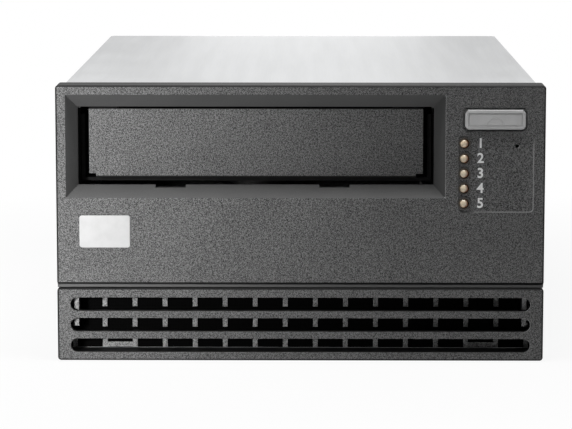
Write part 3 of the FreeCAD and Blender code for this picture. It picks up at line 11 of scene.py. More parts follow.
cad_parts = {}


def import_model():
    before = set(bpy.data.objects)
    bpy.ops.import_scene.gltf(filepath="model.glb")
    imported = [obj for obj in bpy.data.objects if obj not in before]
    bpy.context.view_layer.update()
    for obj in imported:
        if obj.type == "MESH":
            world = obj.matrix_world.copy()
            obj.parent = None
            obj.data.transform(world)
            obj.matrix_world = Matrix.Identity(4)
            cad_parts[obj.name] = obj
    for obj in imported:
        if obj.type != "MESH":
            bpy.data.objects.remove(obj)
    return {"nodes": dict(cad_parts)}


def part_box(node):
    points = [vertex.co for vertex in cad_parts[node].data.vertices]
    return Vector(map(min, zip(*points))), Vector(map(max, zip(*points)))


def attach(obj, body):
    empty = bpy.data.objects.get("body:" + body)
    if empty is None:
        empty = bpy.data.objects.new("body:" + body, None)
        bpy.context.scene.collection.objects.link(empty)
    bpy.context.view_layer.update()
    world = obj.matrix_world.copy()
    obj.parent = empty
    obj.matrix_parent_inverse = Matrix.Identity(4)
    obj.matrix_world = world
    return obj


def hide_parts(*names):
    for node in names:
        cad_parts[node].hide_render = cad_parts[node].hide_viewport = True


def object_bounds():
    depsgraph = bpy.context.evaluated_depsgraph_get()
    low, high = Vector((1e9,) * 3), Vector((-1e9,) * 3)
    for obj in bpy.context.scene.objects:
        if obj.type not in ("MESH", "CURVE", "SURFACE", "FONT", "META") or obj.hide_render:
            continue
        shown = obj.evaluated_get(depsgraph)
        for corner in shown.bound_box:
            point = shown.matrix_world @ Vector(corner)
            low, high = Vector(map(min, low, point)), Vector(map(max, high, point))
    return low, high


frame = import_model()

cad_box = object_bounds()

MM = 0.001
LEVEL = 0.001 * MM      # points nearer than this to a plane lie in it
NO_SIDES = 1.0          # a half width that nothing reaches
LIGHTS = 5              # lights in the column beside the label field
BEZEL_LOW, BEZEL_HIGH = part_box("front_bezel")
GRILLE_LOW, GRILLE_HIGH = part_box("vent_grille")
DOOR_LOW, DOOR_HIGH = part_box("cartridge_door")
FACE = BEZEL_LOW.y


# ---- finishes: the small language they are written in ---------------------------------------

class Signal:
    """A socket of a finish, on which sums are written as plain expressions."""

    def __init__(self, finish, socket):
        self.finish = finish
        self.socket = socket

    def __add__(self, other):
        return self.finish.sum("ADD", self, other)

    def __sub__(self, other):
        return self.finish.sum("SUBTRACT", self, other)

    def __rsub__(self, other):
        return self.finish.sum("SUBTRACT", other, self)

    def __mul__(self, other):
        return self.finish.sum("MULTIPLY", self, other)

    def __truediv__(self, other):
        return self.finish.sum("DIVIDE", self, other)

    def __lt__(self, other):
        return self.finish.sum("LESS_THAN", self, other)


class Finish:
    """A surface finish built round one Principled shader, its hard edges softened."""

    def __init__(self, name, constants, edge=0.12 * MM):
        self.material = bpy.data.materials.new(name)
        self.material.use_nodes = True
        self.tree = self.material.node_tree
        self.shader = self.tree.nodes["Principled BSDF"]
        for socket, amount in constants.items():
            self.shader.inputs[socket].default_value = amount
        self.place = self.node("TexCoord", out="Object")
        self.softened = self.node("Bevel", {"samples": 6}, {"Radius": edge})

    def node(self, kind, settings=None, sockets=None, out=0):
        """One node: its settings first, then the values or links of its sockets."""
        node = self.tree.nodes.new("ShaderNode" + kind)
        for setting, amount in (settings or {}).items():
            setattr(node, setting, amount)
        for socket, amount in (sockets or {}).items():
            self.feed(node.inputs[socket], amount)
        return Signal(self, node.outputs[out])

    def feed(self, socket, amount):
        """Link a signal to a socket, or write a plain value in it."""
        if isinstance(amount, Signal):
            self.tree.links.new(amount.socket, socket)
        else:
            socket.default_value = amount

    def sum(self, operation, first, second=0.0):
        """One step of arithmetic on signals or plain numbers."""
        return self.node("Math", {"operation": operation}, {0: first, 1: second})

    def set(self, socket, amount):
        """Drive one socket of the shader."""
        self.feed(self.shader.inputs[socket], amount)

    def axes(self, vector):
        """The three parts of a vector."""
        return [self.node("SeparateXYZ", {}, {0: vector}, out=axis) for axis in range(3)]

    def stretched(self, x, y, z):
        """The place with each axis scaled."""
        return self.node("Mapping", {}, {"Vector": self.place, "Scale": (x, y, z)})

    def noise(self, size, detail=2.0, roughness=0.5, at=None):
        """Cloudy noise whose features are about this size."""
        return self.node("TexNoise", {}, {
            "Vector": at or self.place, "Scale": 1 / size,
            "Detail": detail, "Roughness": roughness})

    def spread(self, signal, low, high, to_low=0.0, to_high=1.0):
        """A signal between two levels opened out to a new range."""
        return self.node("MapRange", {"interpolation_type": "SMOOTHSTEP"}, {
            "Value": signal, "From Min": low, "From Max": high,
            "To Min": to_low, "To Max": to_high})

    def blend(self, share, first, second):
        """One colour going over to another."""
        return self.node("Mix", {"data_type": "RGBA"}, {0: share, 6: first, 7: second}, out=2)

    def worn(self):
        """Where the surface turns over an edge, 0 on the flats and rising to 1."""
        flat, turned_far = 0.995, 0.88
        upright = self.node("NewGeometry", out="Normal")
        turned = self.node("VectorMath", {"operation": "DOT_PRODUCT"},
                           {0: self.softened, 1: upright}, out="Value")
        return self.spread(turned, flat, turned_far)

    def bump(self, height, depth, strength=1.0):
        """Relief of this depth in metres, over the softened edges."""
        self.set("Normal", self.node("Bump", {}, {
            "Height": height, "Distance": depth, "Strength": strength, "Normal": self.softened}))


def grey(level, warmth=0.0):
    """A linear colour from a display level of 0 to 255, a little warm or cool."""
    level /= 255
    linear = level / 12.92 if level <= 0.04045 else ((level + 0.055) / 1.055) ** 2.4
    return (linear * (1 + warmth), linear, linear * (1 - warmth), 1.0)


# ---- finishes of this drive -----------------------------------------------------------------

def spark_plastic(name, dark, pale, smooth, rim, recess_light_gain=0):
    """Charcoal moulding: spark-eroded on what faces forward, smooth on its other sides.

    Its speckle runs between the dark and the pale level, and its other sides keep near smooth.
    The rim, a half width, a base and a top, marks a band just inside the outline that is painted
    dark: painted shade along the outermost edges, where they turn away from the light or lie under
    a lip.
    Faces set back from the front are painted paler by a given amount, as painted light on recesses
    that lie in shade.
    """
    shade_rim_level, edge_highlight_gain = 22, 70
    finish = Finish(name, {"Roughness": 0.6, "Specular IOR Level": 0.14}, edge=0.28 * MM)
    across, along, up = finish.axes(finish.place)
    fine = finish.noise(0.26 * MM, detail=2.0, roughness=0.65)
    coarse = finish.noise(0.6 * MM, detail=2.0, roughness=0.5)
    mix = finish.spread(fine * 0.76 + coarse * 0.24, 0.38, 0.62)
    clouds = finish.spread(finish.noise(14 * MM, detail=1.0), 0.2, 0.8, 0.95, 1.05)

    # the eroded face, its parts that are set back (painted paler, as painted light), and the
    # smooth sides
    forward = finish.axes(finish.node("TexCoord", out="Normal"))[1]
    eroded = finish.spread(forward, -0.85, -0.98)
    recess_light_mask = finish.spread(along, FACE + 0.1 * MM, FACE + 0.18 * MM)
    speckled = finish.blend(
        recess_light_mask, finish.blend(mix, grey(dark), grey(pale)),
        finish.blend(mix, grey(dark + recess_light_gain), grey(pale + recess_light_gain)))
    plain = finish.blend(finish.spread(fine, 0.3, 0.7), grey(smooth - 3), grey(smooth + 3))
    colour = finish.blend(eroded, plain, speckled)

    # painted highlight: foremost edges that look left, towards the key lamp, are painted pale
    leftward = finish.spread(finish.axes(finish.softened)[0], -0.05, -0.3)
    foremost = finish.spread(along, FACE + 0.9 * MM, FACE + 0.3 * MM)
    edge_highlight = finish.worn() * leftward * foremost
    colour = finish.blend(edge_highlight, colour, grey(pale + edge_highlight_gain))

    # painted shade: a dark band just inside the outline, by how far a point lies beyond the
    # outline
    half_width, base, top = rim
    beyond = finish.sum("MAXIMUM", finish.sum("ABSOLUTE", across) - half_width, up - top)
    beyond = finish.sum("MAXIMUM", beyond, base - up)
    colour = finish.blend(finish.spread(beyond, -0.62 * MM, -0.40 * MM), colour, grey(shade_rim_level))

    finish.set("Base Color", finish.node("HueSaturation", {}, {"Value": clouds, "Color": colour}))
    finish.set("Roughness", finish.spread(eroded, 0.0, 1.0, 0.56, 0.66))
    finish.bump(mix * finish.spread(eroded, 0.0, 1.0, 0.12, 1.0), 0.05 * MM, 0.7)
    return finish.material


def smooth_plastic(name, level, warmth=0.0, roughness=0.4, shine=0.45):
    """A plain moulding with faint flow marks."""
    finish = Finish(name, {"Specular IOR Level": shine})
    flow = finish.noise(3 * MM, at=finish.stretched(1, 0.3, 1))
    fine = finish.noise(0.25 * MM, detail=1.0)
    finish.set("Base Color", finish.blend(
        finish.spread(flow, 0.3, 0.7), grey(level * 0.985, warmth), grey(level * 1.015, warmth)))
    finish.set("Roughness", finish.spread(flow, 0.2, 0.8, roughness - 0.05, roughness + 0.07))
    finish.bump(fine, 0.01 * MM, 0.5)
    return finish.material


def rolled_sheet(name, level, roughness):
    """Zinc-plated steel sheet: fine rolling lines from front to back and a very faint haze."""
    warmth = -0.01
    finish = Finish(name, {"Metallic": 1.0, "Specular Tint": grey(230)})
    lines = finish.noise(0.5 * MM, detail=3.0, roughness=0.6, at=finish.stretched(1, 0.02, 1))
    bands = finish.noise(5 * MM, at=finish.stretched(1, 0.05, 1))
    haze = finish.noise(45 * MM)
    finish.set("Base Color", finish.blend(
        finish.spread(lines * 0.4 + bands * 0.4 + haze * 0.2, 0.35, 0.65),
        grey(level - 4, warmth), grey(level + 4, warmth)))
    finish.set("Roughness", finish.spread(
        lines * 0.5 + haze * 0.5, 0.35, 0.65, roughness - 0.02, roughness + 0.03))
    finish.bump(lines, 0.004 * MM, 0.4)
    return finish.material


def cast_alloy(name):
    """Die-cast aluminium: fine orange peel and a few flow clouds."""
    finish = Finish(name, {"Metallic": 1.0})
    peel = finish.noise(0.45 * MM, detail=3.0)
    flow = finish.noise(7 * MM, detail=4.0, roughness=0.65, at=finish.stretched(1, 0.4, 1))
    finish.set("Base Color", finish.blend(
        finish.spread(flow * 0.5 + peel * 0.5, 0.35, 0.65), grey(152, -0.01), grey(164, -0.01)))
    finish.set("Roughness", finish.spread(flow * 0.4 + peel * 0.6, 0.35, 0.65, 0.47, 0.55))
    finish.bump(peel, 0.03 * MM, 0.6)
    return finish.material


def cut_metal(name, level, roughness, size, warmth=0.0, centre=None):
    """Milled metal with tool marks, or turned metal with rings round an upright centre line."""
    finish = Finish(name, {"Metallic": 1.0})
    marked_at = finish.stretched(1, 1, 0.15)
    if centre:
        out = finish.node("VectorMath", {"operation": "SUBTRACT"}, {
            0: finish.place, 1: (centre.x, centre.y, 0)})
        across, along, up = finish.axes(out)
        radius = finish.sum("SQRT", across * across + along * along)
        marked_at = finish.node("CombineXYZ", {}, {0: radius, 2: up})
    marks = finish.noise(size, roughness=0.7, at=marked_at)
    spots = finish.noise(6 * MM, detail=3.0)
    finish.set("Base Color", finish.blend(
        finish.spread(marks * 0.6 + spots * 0.4, 0.3, 0.7),
        grey(level - 5, warmth), grey(level + 5, warmth)))
    finish.set("Roughness", finish.spread(
        marks * 0.8 + spots * 0.2, 0.3, 0.7, roughness - 0.05, roughness + 0.05))
    finish.bump(marks, 0.006 * MM, 0.5)
    return finish.material


def light_lens(name):
    """Unlit lens: milky cream on its crown and going over to amber to the right and below, as
    painted shade away from the key lamp.
    """
    shaded_amber = (0.20, 0.085, 0.035, 1)
    warm_cream, cool_cream = (0.86, 0.62, 0.40, 1), (0.70, 0.64, 0.48, 1)
    finish = Finish(name, {
        "Roughness": 0.22, "Specular IOR Level": 0.6, "Coat Weight": 0.4, "Coat Roughness": 0.08})
    sideways, inward, upward = finish.axes(finish.node("TexCoord", out="Normal"))
    mottled = finish.noise(0.5 * MM)
    # painted light and shade: cream where the lens faces front, left and up, amber where it turns
    # right and down
    crown = finish.spread(
        upward * 0.15 - inward - sideways * 0.6 + mottled * 0.25, 0.5, 1.05)
    cream = finish.blend(finish.noise(9 * MM, detail=0.0), warm_cream, cool_cream)
    finish.set("Base Color", finish.blend(crown, shaded_amber, cream))
    finish.set("Roughness", finish.spread(mottled, 0.3, 0.7, 0.18, 0.3))
    return finish.material


def circuit_board(name):
    """Green solder mask over copper tracks, with bare pads."""
    dark_mask, pale_mask = (0.010, 0.060, 0.028, 1), (0.016, 0.085, 0.040, 1)
    track, pad = (0.03, 0.15, 0.06, 1), (0.42, 0.34, 0.18, 1)
    finish = Finish(name, {"Specular IOR Level": 0.5, "Coat Weight": 0.3})
    tracks = finish.node("TexBrick", {"offset": 0.37, "squash": 1.0}, {
        "Vector": finish.place, "Scale": 1 / (6 * MM), "Mortar Size": 0.03,
        "Brick Width": 0.9, "Row Height": 0.21}, out="Fac")
    pads = finish.node("TexVoronoi", {}, {"Vector": finish.place, "Scale": 1 / (3.2 * MM)}) < 0.14
    mask = finish.blend(finish.noise(8 * MM), dark_mask, pale_mask)
    finish.set("Base Color", finish.blend(pads, finish.blend(tracks, mask, track), pad))
    finish.set("Roughness", finish.spread(finish.noise(1.2 * MM), 0.3, 0.7, 0.28, 0.4))
    finish.bump(tracks, 0.03 * MM, 0.6)
    return finish.material


def chip_epoxy(name, level):
    """Moulded package: matt with a fine sandy skin."""
    finish = Finish(name, {"Specular IOR Level": 0.4})
    sand = finish.noise(0.2 * MM)
    finish.set("Base Color", finish.blend(
        finish.spread(sand, 0.3, 0.7), grey(level - 5), grey(level + 7)))
    finish.set("Roughness", finish.spread(finish.noise(2 * MM), 0.3, 0.7, 0.5, 0.65))
    finish.bump(sand, 0.02 * MM, 0.4)
    return finish.material


def woven_mesh(name):
    """Black filter cloth: a fine square weave, almost lightless between its threads, and set near
    lightless all over as painted shade inside the grille's slots.
    """
    finish = Finish(name, {"Specular IOR Level": 0.05, "Roughness": 0.9})
    half_pitch = 0.25 * MM
    across, _, up = finish.axes(finish.place)
    rows, columns = (finish.sum("PINGPONG", way, half_pitch) / half_pitch for way in (up, across))
    thread = finish.sum("MAXIMUM", rows, columns)
    finish.set("Base Color", finish.blend(finish.spread(thread, 0.45, 0.8), grey(2), grey(8)))
    finish.bump(thread, 0.1 * MM, 0.5)
    return finish.material


def printed(name, level):
    """Screen-printed ink, slightly uneven over the moulding's texture."""
    finish = Finish(name, {"Specular IOR Level": 0.3})
    grain = finish.noise(0.6 * MM)
    finish.set("Base Color", finish.blend(
        finish.spread(grain, 0.25, 0.5), grey(level * 0.94), grey(level)))
    finish.set("Roughness", finish.spread(grain, 0.3, 0.7, 0.5, 0.62))
    finish.bump(grain, 0.015 * MM, 0.5)
    return finish.material


FINISHES = {
    # painted shade: the rim darkens the bezel's outer sides, its top edge and the step along its
    # foot
    "bezel_plastic": spark_plastic(
        "charcoal_spark_moulding", dark=40, pale=132, smooth=86,
        rim=(BEZEL_HIGH.x, BEZEL_LOW.z + 1.0 * MM, BEZEL_HIGH.z)),
    # painted shade: the grille's smooth slot walls and floors are set dark and its rim darkens its
    # outer edges; painted light makes its set-back faces, the bars, paler
    "grille_plastic": spark_plastic(
        "charcoal_grille_moulding", dark=38, pale=130, smooth=34, recess_light_gain=62,
        rim=(GRILLE_HIGH.x, GRILLE_LOW.z, GRILLE_HIGH.z)),
    # painted shade: the door's smooth sides are set dark for the gaps round it, and its rim
    # darkens its foot and its upper part behind the lip
    "door_plastic": spark_plastic(
        "charcoal_door_moulding", dark=44, pale=138, smooth=22,
        rim=(NO_SIDES, DOOR_LOW.z, DOOR_HIGH.z - 3.7 * MM)),
    "button_plastic": smooth_plastic("grey_button_moulding", 201, shine=0.4),
    "lens_plastic": light_lens("cream_lens"),
    "cover_sheet": rolled_sheet("satin_zinc_cover", 187, roughness=0.5),
    # black coating and painted shade: the sheet is set near lightless so the gaps behind the door
    # read as shade
    "black_sheet": smooth_plastic("black_coated_sheet_and_shade", 20, roughness=0.75, shine=0.12),
    # filter cloth and painted shade: near lightless so the grille's slots read dark
    "screen_mesh": woven_mesh("black_filter_mesh_and_shade"),
    "inner_sheet": rolled_sheet("zinc_plated_sheet", 172, roughness=0.34),
    "cast_alloy": cast_alloy("cast_alloy"),
    "machined_alloy": cut_metal("turned_alloy", 196, roughness=0.28, size=0.2 * MM),
    "bare_steel": cut_metal("ground_steel", 168, roughness=0.26, size=0.12 * MM, warmth=0.01),
    "blackened_steel": cut_metal("black_oxide_steel", 46, roughness=0.5, size=0.2 * MM),
    "screw_steel": cut_metal("screw_zinc", 132, roughness=0.3, size=0.25 * MM, warmth=0.03),
    "acetal": smooth_plastic("natural_acetal", 214, warmth=0.01, roughness=0.36),
    "black_plastic": smooth_plastic("black_glass_filled", 36, roughness=0.48),
    "circuit_board": circuit_board("solder_mask"),
    "chip_epoxy": chip_epoxy("package_epoxy", 34),
    "chip_ceramic": chip_epoxy("lamp_ceramic", 205),
    "capacitor_can": cut_metal("can_sleeve", 120, roughness=0.36, size=0.5 * MM),
    "head_ceramic": chip_epoxy("head_ceramic", 92),
}
WHITE_INK = printed("white_ink", 255)
PLATE_FINISH = smooth_plastic("pale_plate", 190, roughness=0.35)
BEAD_FINISH = smooth_plastic("polished_bead", 92, roughness=0.5, shine=0.16)
# painted highlight: the pale bead along the label field's lit edges
FIELD_HIGHLIGHT_FINISH = smooth_plastic("painted_highlight_bead", 165)
RIM_FINISH = smooth_plastic("brown_light_rim", 52, warmth=0.2, roughness=0.42)
GOLD = cut_metal("contact_gold", 190, roughness=0.24, size=0.3 * MM, warmth=0.32)


def dress_frame():
    """Every CAD node takes the finish of its slot; what is turned gets rings round its centre."""
    for name, cad in frame["nodes"].items():
        for cell in cad.material_slots:
            slot = cell.material.name.split(".")[0]
            cell.material = FINISHES[slot]
            if slot == "machined_alloy" and name.startswith(("guide_roller", "take_up")):
                low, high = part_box(name)
                cell.material = cut_metal(
                    f"{name}_turned", 190, roughness=0.3, size=0.35 * MM,
                    centre=(low + high) / 2)


# ---- modelling ------------------------------------------------------------------------------

def begin(add, **place):
    """A primitive on its own, applied and in edit mode."""
    bpy.ops.object.select_all(action="DESELECT")
    add(**place)
    bpy.ops.object.transform_apply(location=True, rotation=True, scale=True)
    bpy.ops.object.mode_set(mode="EDIT")
    return bpy.context.edit_object


def pick(piece, kind, test):
    """Select what passes the test, among points, edges or faces."""
    bpy.ops.mesh.select_mode(type=kind)
    bpy.ops.mesh.select_all(action="DESELECT")
    mesh = bmesh.from_edit_mesh(piece.data)
    for item in {"VERT": mesh.verts, "EDGE": mesh.edges, "FACE": mesh.faces}[kind]:
        item.select_set(test(item))
    mesh.select_flush_mode()
    bmesh.update_edit_mesh(piece.data)


def end(piece, name, body, finish, smooth=35):
    """Name and dress a finished piece, and let it ride."""
    bpy.ops.object.mode_set(mode="OBJECT")
    piece.name = piece.data.name = name
    piece.data.materials.clear()
    piece.data.materials.append(finish)
    bpy.ops.object.select_all(action="DESELECT")
    piece.select_set(True)
    bpy.context.view_layer.objects.active = piece
    bpy.ops.object.shade_smooth_by_angle(angle=math.radians(smooth))
    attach(piece, body)
    return piece


def again(piece, name, matrix):
    """A copy with its own mesh, moved by a matrix and riding as the first does."""
    twin = piece.copy()
    twin.data = piece.data.copy()
    twin.name = twin.data.name = name
    bpy.context.scene.collection.objects.link(twin)
    twin.data.transform(matrix)
    return twin


def block(low, high):
    """A box between two corners, in edit mode."""
    low, high = Vector(low), Vector(high)
    return begin(bpy.ops.mesh.primitive_cube_add, size=1,
                 location=(low + high) / 2, scale=high - low)


def break_edges(width, segments):
    """Round off every selected edge."""
    bpy.ops.mesh.bevel(offset=width, offset_type="OFFSET", segments=segments, affect="EDGES")


def push(along, distance):
    """Extrude what is selected along an axis."""
    move = Vector((0, 0, 0))
    move[along] = distance
    bpy.ops.mesh.extrude_region_move(TRANSFORM_OT_translate={"value": move})


def inset(width):
    """Draw in the border of what is selected."""
    bpy.ops.mesh.inset(thickness=width)


def all_points(test):
    """A test for edges, that both ends pass another test."""
    return lambda edge: all(test(point.co) for point in edge.verts)


def running_back(length):
    """A test for edges that run from front to back over more than a length."""
    return lambda edge: abs(edge.verts[0].co.y - edge.verts[1].co.y) > length


def facing(axis, sign):
    """A test for faces that look along an axis; without a sign, either way."""
    if not sign:
        return lambda face: abs(face.normal[axis]) > 0.9
    return lambda face: face.normal[axis] * sign > 0.9


# ---- fittings of this drive -----------------------------------------------------------------

def screw(centre, outward, head, thick, shank, length, name):
    """A six-lobe pan-head screw at a place, standing in for one of a CAD node's screws.

    Head and shank are radii. The head is so thick, and the shank goes on for the length.
    """
    socket, lobes, lobe_rise, sharp_angle = 0.56 * head, 6, 0.13, 40
    piece = begin(bpy.ops.mesh.primitive_cylinder_add, vertices=36, radius=head, depth=thick,
                  location=(0, 0, -thick / 2))
    top = facing(2, 1)
    pick(piece, "EDGE", all_points(lambda co: co.z > -LEVEL))
    break_edges(0.35 * min(thick, 0.6 * head), 3)
    pick(piece, "FACE", lambda face: top(face) and face.calc_area() > head * head)
    inset(0.25 * head)
    pick(piece, "VERT", lambda point: (
        point.co.z > -LEVEL and Vector(point.co.xy).length < 0.7 * head))
    mesh = bmesh.from_edit_mesh(piece.data)
    for point in [v for v in mesh.verts if v.select]:
        lobe = 1 + lobe_rise * math.cos(lobes * math.atan2(point.co.y, point.co.x))
        point.co.xy = Vector(point.co.xy).normalized() * socket * lobe
    bmesh.update_edit_mesh(piece.data)
    pick(piece, "FACE", lambda face: top(face) and face.calc_area() > socket * socket)
    push(2, -0.6 * thick)
    pick(piece, "FACE", facing(2, -1))
    inset(head - shank)
    push(2, -length)
    bpy.ops.object.mode_set(mode="OBJECT")
    turn = Vector((0, 0, 1)).rotation_difference(Vector(outward)).to_matrix().to_4x4()
    piece.data.transform(Matrix.Translation(centre) @ turn)
    return end(piece, name, "drive", FINISHES["screw_steel"], sharp_angle)


def screws(node, axis, head, thick, shank, length):
    """Detailed screws for a node whose four sit at the corners of its box, set along X or Y."""
    low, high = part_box(node)
    for first in (0, 1):
        for second in (0, 1):
            if axis == 0:
                outward = (2 * first - 1, 0, 0)
                centre = ((low.x, high.x)[first], (low.y + head, high.y - head)[second],
                          (low.z + high.z) / 2)
            else:
                outward = (0, 1, 0)
                centre = ((low.x + head, high.x - head)[first], high.y,
                          (low.z + head, high.z - head)[second])
            piece = screw(Vector(centre), outward, head, thick, shank, length,
                          f"{node}_detail_{2 * first + second + 1}")
            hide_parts(node)


def light_rims():
    """Turned-in collars round the five lenses, on the floor of the label field."""
    lens, spread, wall, deep, proud = 1.5 * MM, 0.42 * MM, 0.36 * MM, 0.46 * MM, 0.14 * MM
    low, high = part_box("light_pipes")
    pitch = (high.z - low.z - 2 * lens) / (LIGHTS - 1)
    lowest = Vector((low.x + lens, FACE - proud + deep / 2, low.z + lens))
    piece = begin(bpy.ops.mesh.primitive_cylinder_add, vertices=40, radius=lens + spread,
                  depth=deep, rotation=(math.pi / 2, 0, 0), location=lowest)
    pick(piece, "FACE", facing(1, 0))
    inset(wall)
    bpy.ops.mesh.bridge_edge_loops()
    first = end(piece, "light_rim_1", "drive", RIM_FINISH)
    for step in range(1, LIGHTS):
        again(first, f"light_rim_{step + 1}", Matrix.Translation((0, 0, pitch * step)))
    return lowest, pitch


def numbers(lowest, pitch):
    """Plain white numbers beside the lights, the top light being the first."""
    height, weight, half_thick, weld = 4.2 * MM, 0.1 * MM, 0.03 * MM, 0.002 * MM
    aside, floor_depth = 3.9 * MM, 0.29 * MM
    for step in range(LIGHTS):
        number = LIGHTS - step
        bpy.ops.object.select_all(action="DESELECT")
        bpy.ops.object.text_add()
        text = bpy.context.active_object
        text.data.body = str(number)
        text.data.size = height
        text.data.offset = weight
        text.data.extrude = half_thick
        text.data.align_x = "LEFT"
        text.data.align_y = "CENTER"
        bpy.ops.object.convert(target="MESH")
        piece = bpy.context.active_object
        place = (lowest.x + aside, FACE + floor_depth, lowest.z + pitch * step)
        piece.data.transform(Matrix.Translation(place) @ Matrix.Rotation(math.pi / 2, 4, "X"))
        bpy.ops.object.mode_set(mode="EDIT")
        bpy.ops.mesh.select_all(action="SELECT")
        bpy.ops.mesh.remove_doubles(threshold=weld)
        bpy.ops.mesh.dissolve_degenerate(threshold=weld)
        end(piece, f"light_number_{number}", "drive", WHITE_INK)


def blank_plate():
    """The bare pale plate at the lower left of the upper panel."""
    wide, tall, proud, sunk, corner = 15.5 * MM, 9.9 * MM, 0.3 * MM, 0.1 * MM, 0.8 * MM
    edge, crown = 0.14 * MM, 0.08 * MM
    left, base = BEZEL_LOW.x + 7.05 * MM, GRILLE_HIGH.z + 12.6 * MM
    piece = block((left, FACE - proud, base), (left + wide, FACE + sunk, base + tall))
    pick(piece, "EDGE", running_back(0.2 * MM))
    break_edges(corner, 5)
    pick(piece, "FACE", facing(1, -1))
    inset(edge)
    push(1, -crown)
    end(piece, "blank_plate", "drive", PLATE_FINISH)


def eject_cap():
    """The eject button: flange and cap, with a sunk frame line round its face."""
    flange_thick, flange_wide, cap_deep = 1.0 * MM, 1.3 * MM, 3.4 * MM
    border, line_wide, line_deep, face_rise = 1.0 * MM, 0.24 * MM, 0.3 * MM, 0.2 * MM
    corner, broken = 0.8 * MM, 0.2 * MM
    low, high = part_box("eject_button")
    piece = block((low.x, high.y - flange_thick, low.z), high)
    pick(piece, "FACE", facing(1, -1))
    inset(flange_wide)
    push(1, -cap_deep)
    inset(border)
    push(1, line_deep)
    inset(line_wide)
    push(1, -face_rise)
    pick(piece, "EDGE", running_back(2 * MM))
    break_edges(corner, 6)
    margin = flange_wide + corner + 0.05 * MM
    pick(piece, "EDGE", all_points(
        lambda co: co.y < low.y + LEVEL and not (low.x + margin < co.x < high.x - margin
                                                 and low.z + margin < co.z < high.z - margin)))
    break_edges(broken, 3)
    end(piece, "eject_button_cap", "button", FINISHES["button_plastic"])
    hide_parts("eject_button")


def button_arch():
    """The low arch in the middle of the button's face."""
    radius, thick, rim, sunk = 2.75 * MM, 0.12 * MM, 0.2 * MM, 0.06 * MM
    low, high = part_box("eject_button")
    sole = low.z + 2.6 * MM
    arch = begin(bpy.ops.mesh.primitive_cylinder_add, vertices=48, radius=radius, depth=thick,
                 rotation=(math.pi / 2, 0, 0),
                 location=((low.x + high.x) / 2, low.y + 0.08 * MM, sole - 0.45 * MM))
    bpy.ops.mesh.select_all(action="SELECT")
    bpy.ops.mesh.bisect(plane_co=(0, 0, sole), plane_no=(0, 0, 1), use_fill=True, clear_inner=True)
    pick(arch, "FACE", facing(1, -1))
    inset(rim)
    push(1, sunk)
    end(arch, "button_arch", "button", FINISHES["button_plastic"])


def seam_strip():
    """The smooth bead in the step between the upper panel and the grille."""
    margin, tall, front, back = 0.15 * MM, 0.95 * MM, FACE + 0.35 * MM, FACE + 1.6 * MM
    base = BEZEL_LOW.z - 0.1 * MM
    piece = block((BEZEL_LOW.x + margin, front, base), (BEZEL_HIGH.x - margin, back, base + tall))
    pick(piece, "EDGE", all_points(lambda co: co.y < front + 0.15 * MM))
    break_edges(0.22 * MM, 3)
    end(piece, "seam_strip", "drive", BEAD_FINISH)


def field_line():
    """A pale bead along the label field's right and bottom edges, left off beside the lights and
    along the top: a painted highlight where the field's edge catches the light.
    """
    wide, proud, sunk, corner = 0.16 * MM, 0.04 * MM, 0.28 * MM, 1.25 * MM
    low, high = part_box("light_pipes")
    right, base, top = BEZEL_HIGH.x - 3.5 * MM, low.z - 1.22 * MM, high.z + 0.78 * MM
    piece = block((low.x, FACE - proud, base), (right, FACE + sunk, top))
    pick(piece, "EDGE", running_back(0.2 * MM))
    break_edges(corner, 5)
    pick(piece, "FACE", facing(1, 0))
    inset(wide)
    bpy.ops.mesh.bridge_edge_loops()
    for cut, kept_side in (((low.x + 4.6 * MM, 0, 0), (1, 0, 0)),
                           ((0, 0, high.z - 1.6 * MM), (0, 0, -1))):
        bpy.ops.mesh.select_all(action="SELECT")
        bpy.ops.mesh.bisect(plane_co=cut, plane_no=kept_side, use_fill=True, clear_inner=True)
    end(piece, "field_line", "drive", FIELD_HIGHLIGHT_FINISH)


def row_of(count, pitch):
    """Repeat what is selected along X, in edit mode."""
    for _ in range(count - 1):
        bpy.ops.mesh.duplicate_move(TRANSFORM_OT_translate={"value": (pitch, 0, 0)})


def drive_contacts():
    """Gold contacts on both sides of the drive connector's tongue."""
    pitch, wide, tongue_half = 1.27 * MM, 0.8 * MM, 0.9 * MM
    sunk, proud, broken = 0.1 * MM, 0.09 * MM, 0.08 * MM
    low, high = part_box("sas_connector")
    middle = (low + high) / 2
    back, tip = high.y - 9.4 * MM, high.y - 1.5 * MM
    for name, count, first, side in (
            ("power_contacts", 15, middle.x - 3.1 * MM, 1),
            ("signal_contacts", 7, middle.x - 15.2 * MM, 1),
            ("second_signal_contacts", 7, middle.x - 7.5 * MM, -1)):
        skin = middle.z + side * tongue_half
        piece = block((first, back, skin - sunk), (first + wide, tip, skin + proud))
        pick(piece, "EDGE", all_points(
            lambda co: abs(co.z - skin) < 0.12 * MM and co.y > tip - 0.5 * MM))
        break_edges(broken, 2)
        bpy.ops.mesh.select_all(action="SELECT")
        row_of(count, pitch)
        end(piece, name, "drive", GOLD)


def service_springs():
    """Eight gilded springs sloping back from the mouth of the service port."""
    count, pitch, wide, fall = 8, 1.02 * MM, 0.4 * MM, 4.6 * MM
    low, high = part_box("service_port")
    first = (low.x + high.x) / 2 - (count - 1) / 2 * pitch - wide / 2
    back, mouth = high.y - 9.5 * MM, high.y - 1.6 * MM
    piece = block((first, back, high.z - 1.5 * MM), (first + wide, mouth, high.z - 1.15 * MM))
    bpy.ops.mesh.select_all(action="SELECT")
    bpy.ops.mesh.subdivide(number_cuts=4)
    mesh = bmesh.from_edit_mesh(piece.data)
    for point in mesh.verts:
        inwards = (mouth - point.co.y) / (mouth - back)
        point.co.z -= fall * inwards * inwards
    bmesh.update_edit_mesh(piece.data)
    bpy.ops.mesh.select_all(action="SELECT")
    row_of(count, pitch)
    end(piece, "service_springs", "drive", GOLD)


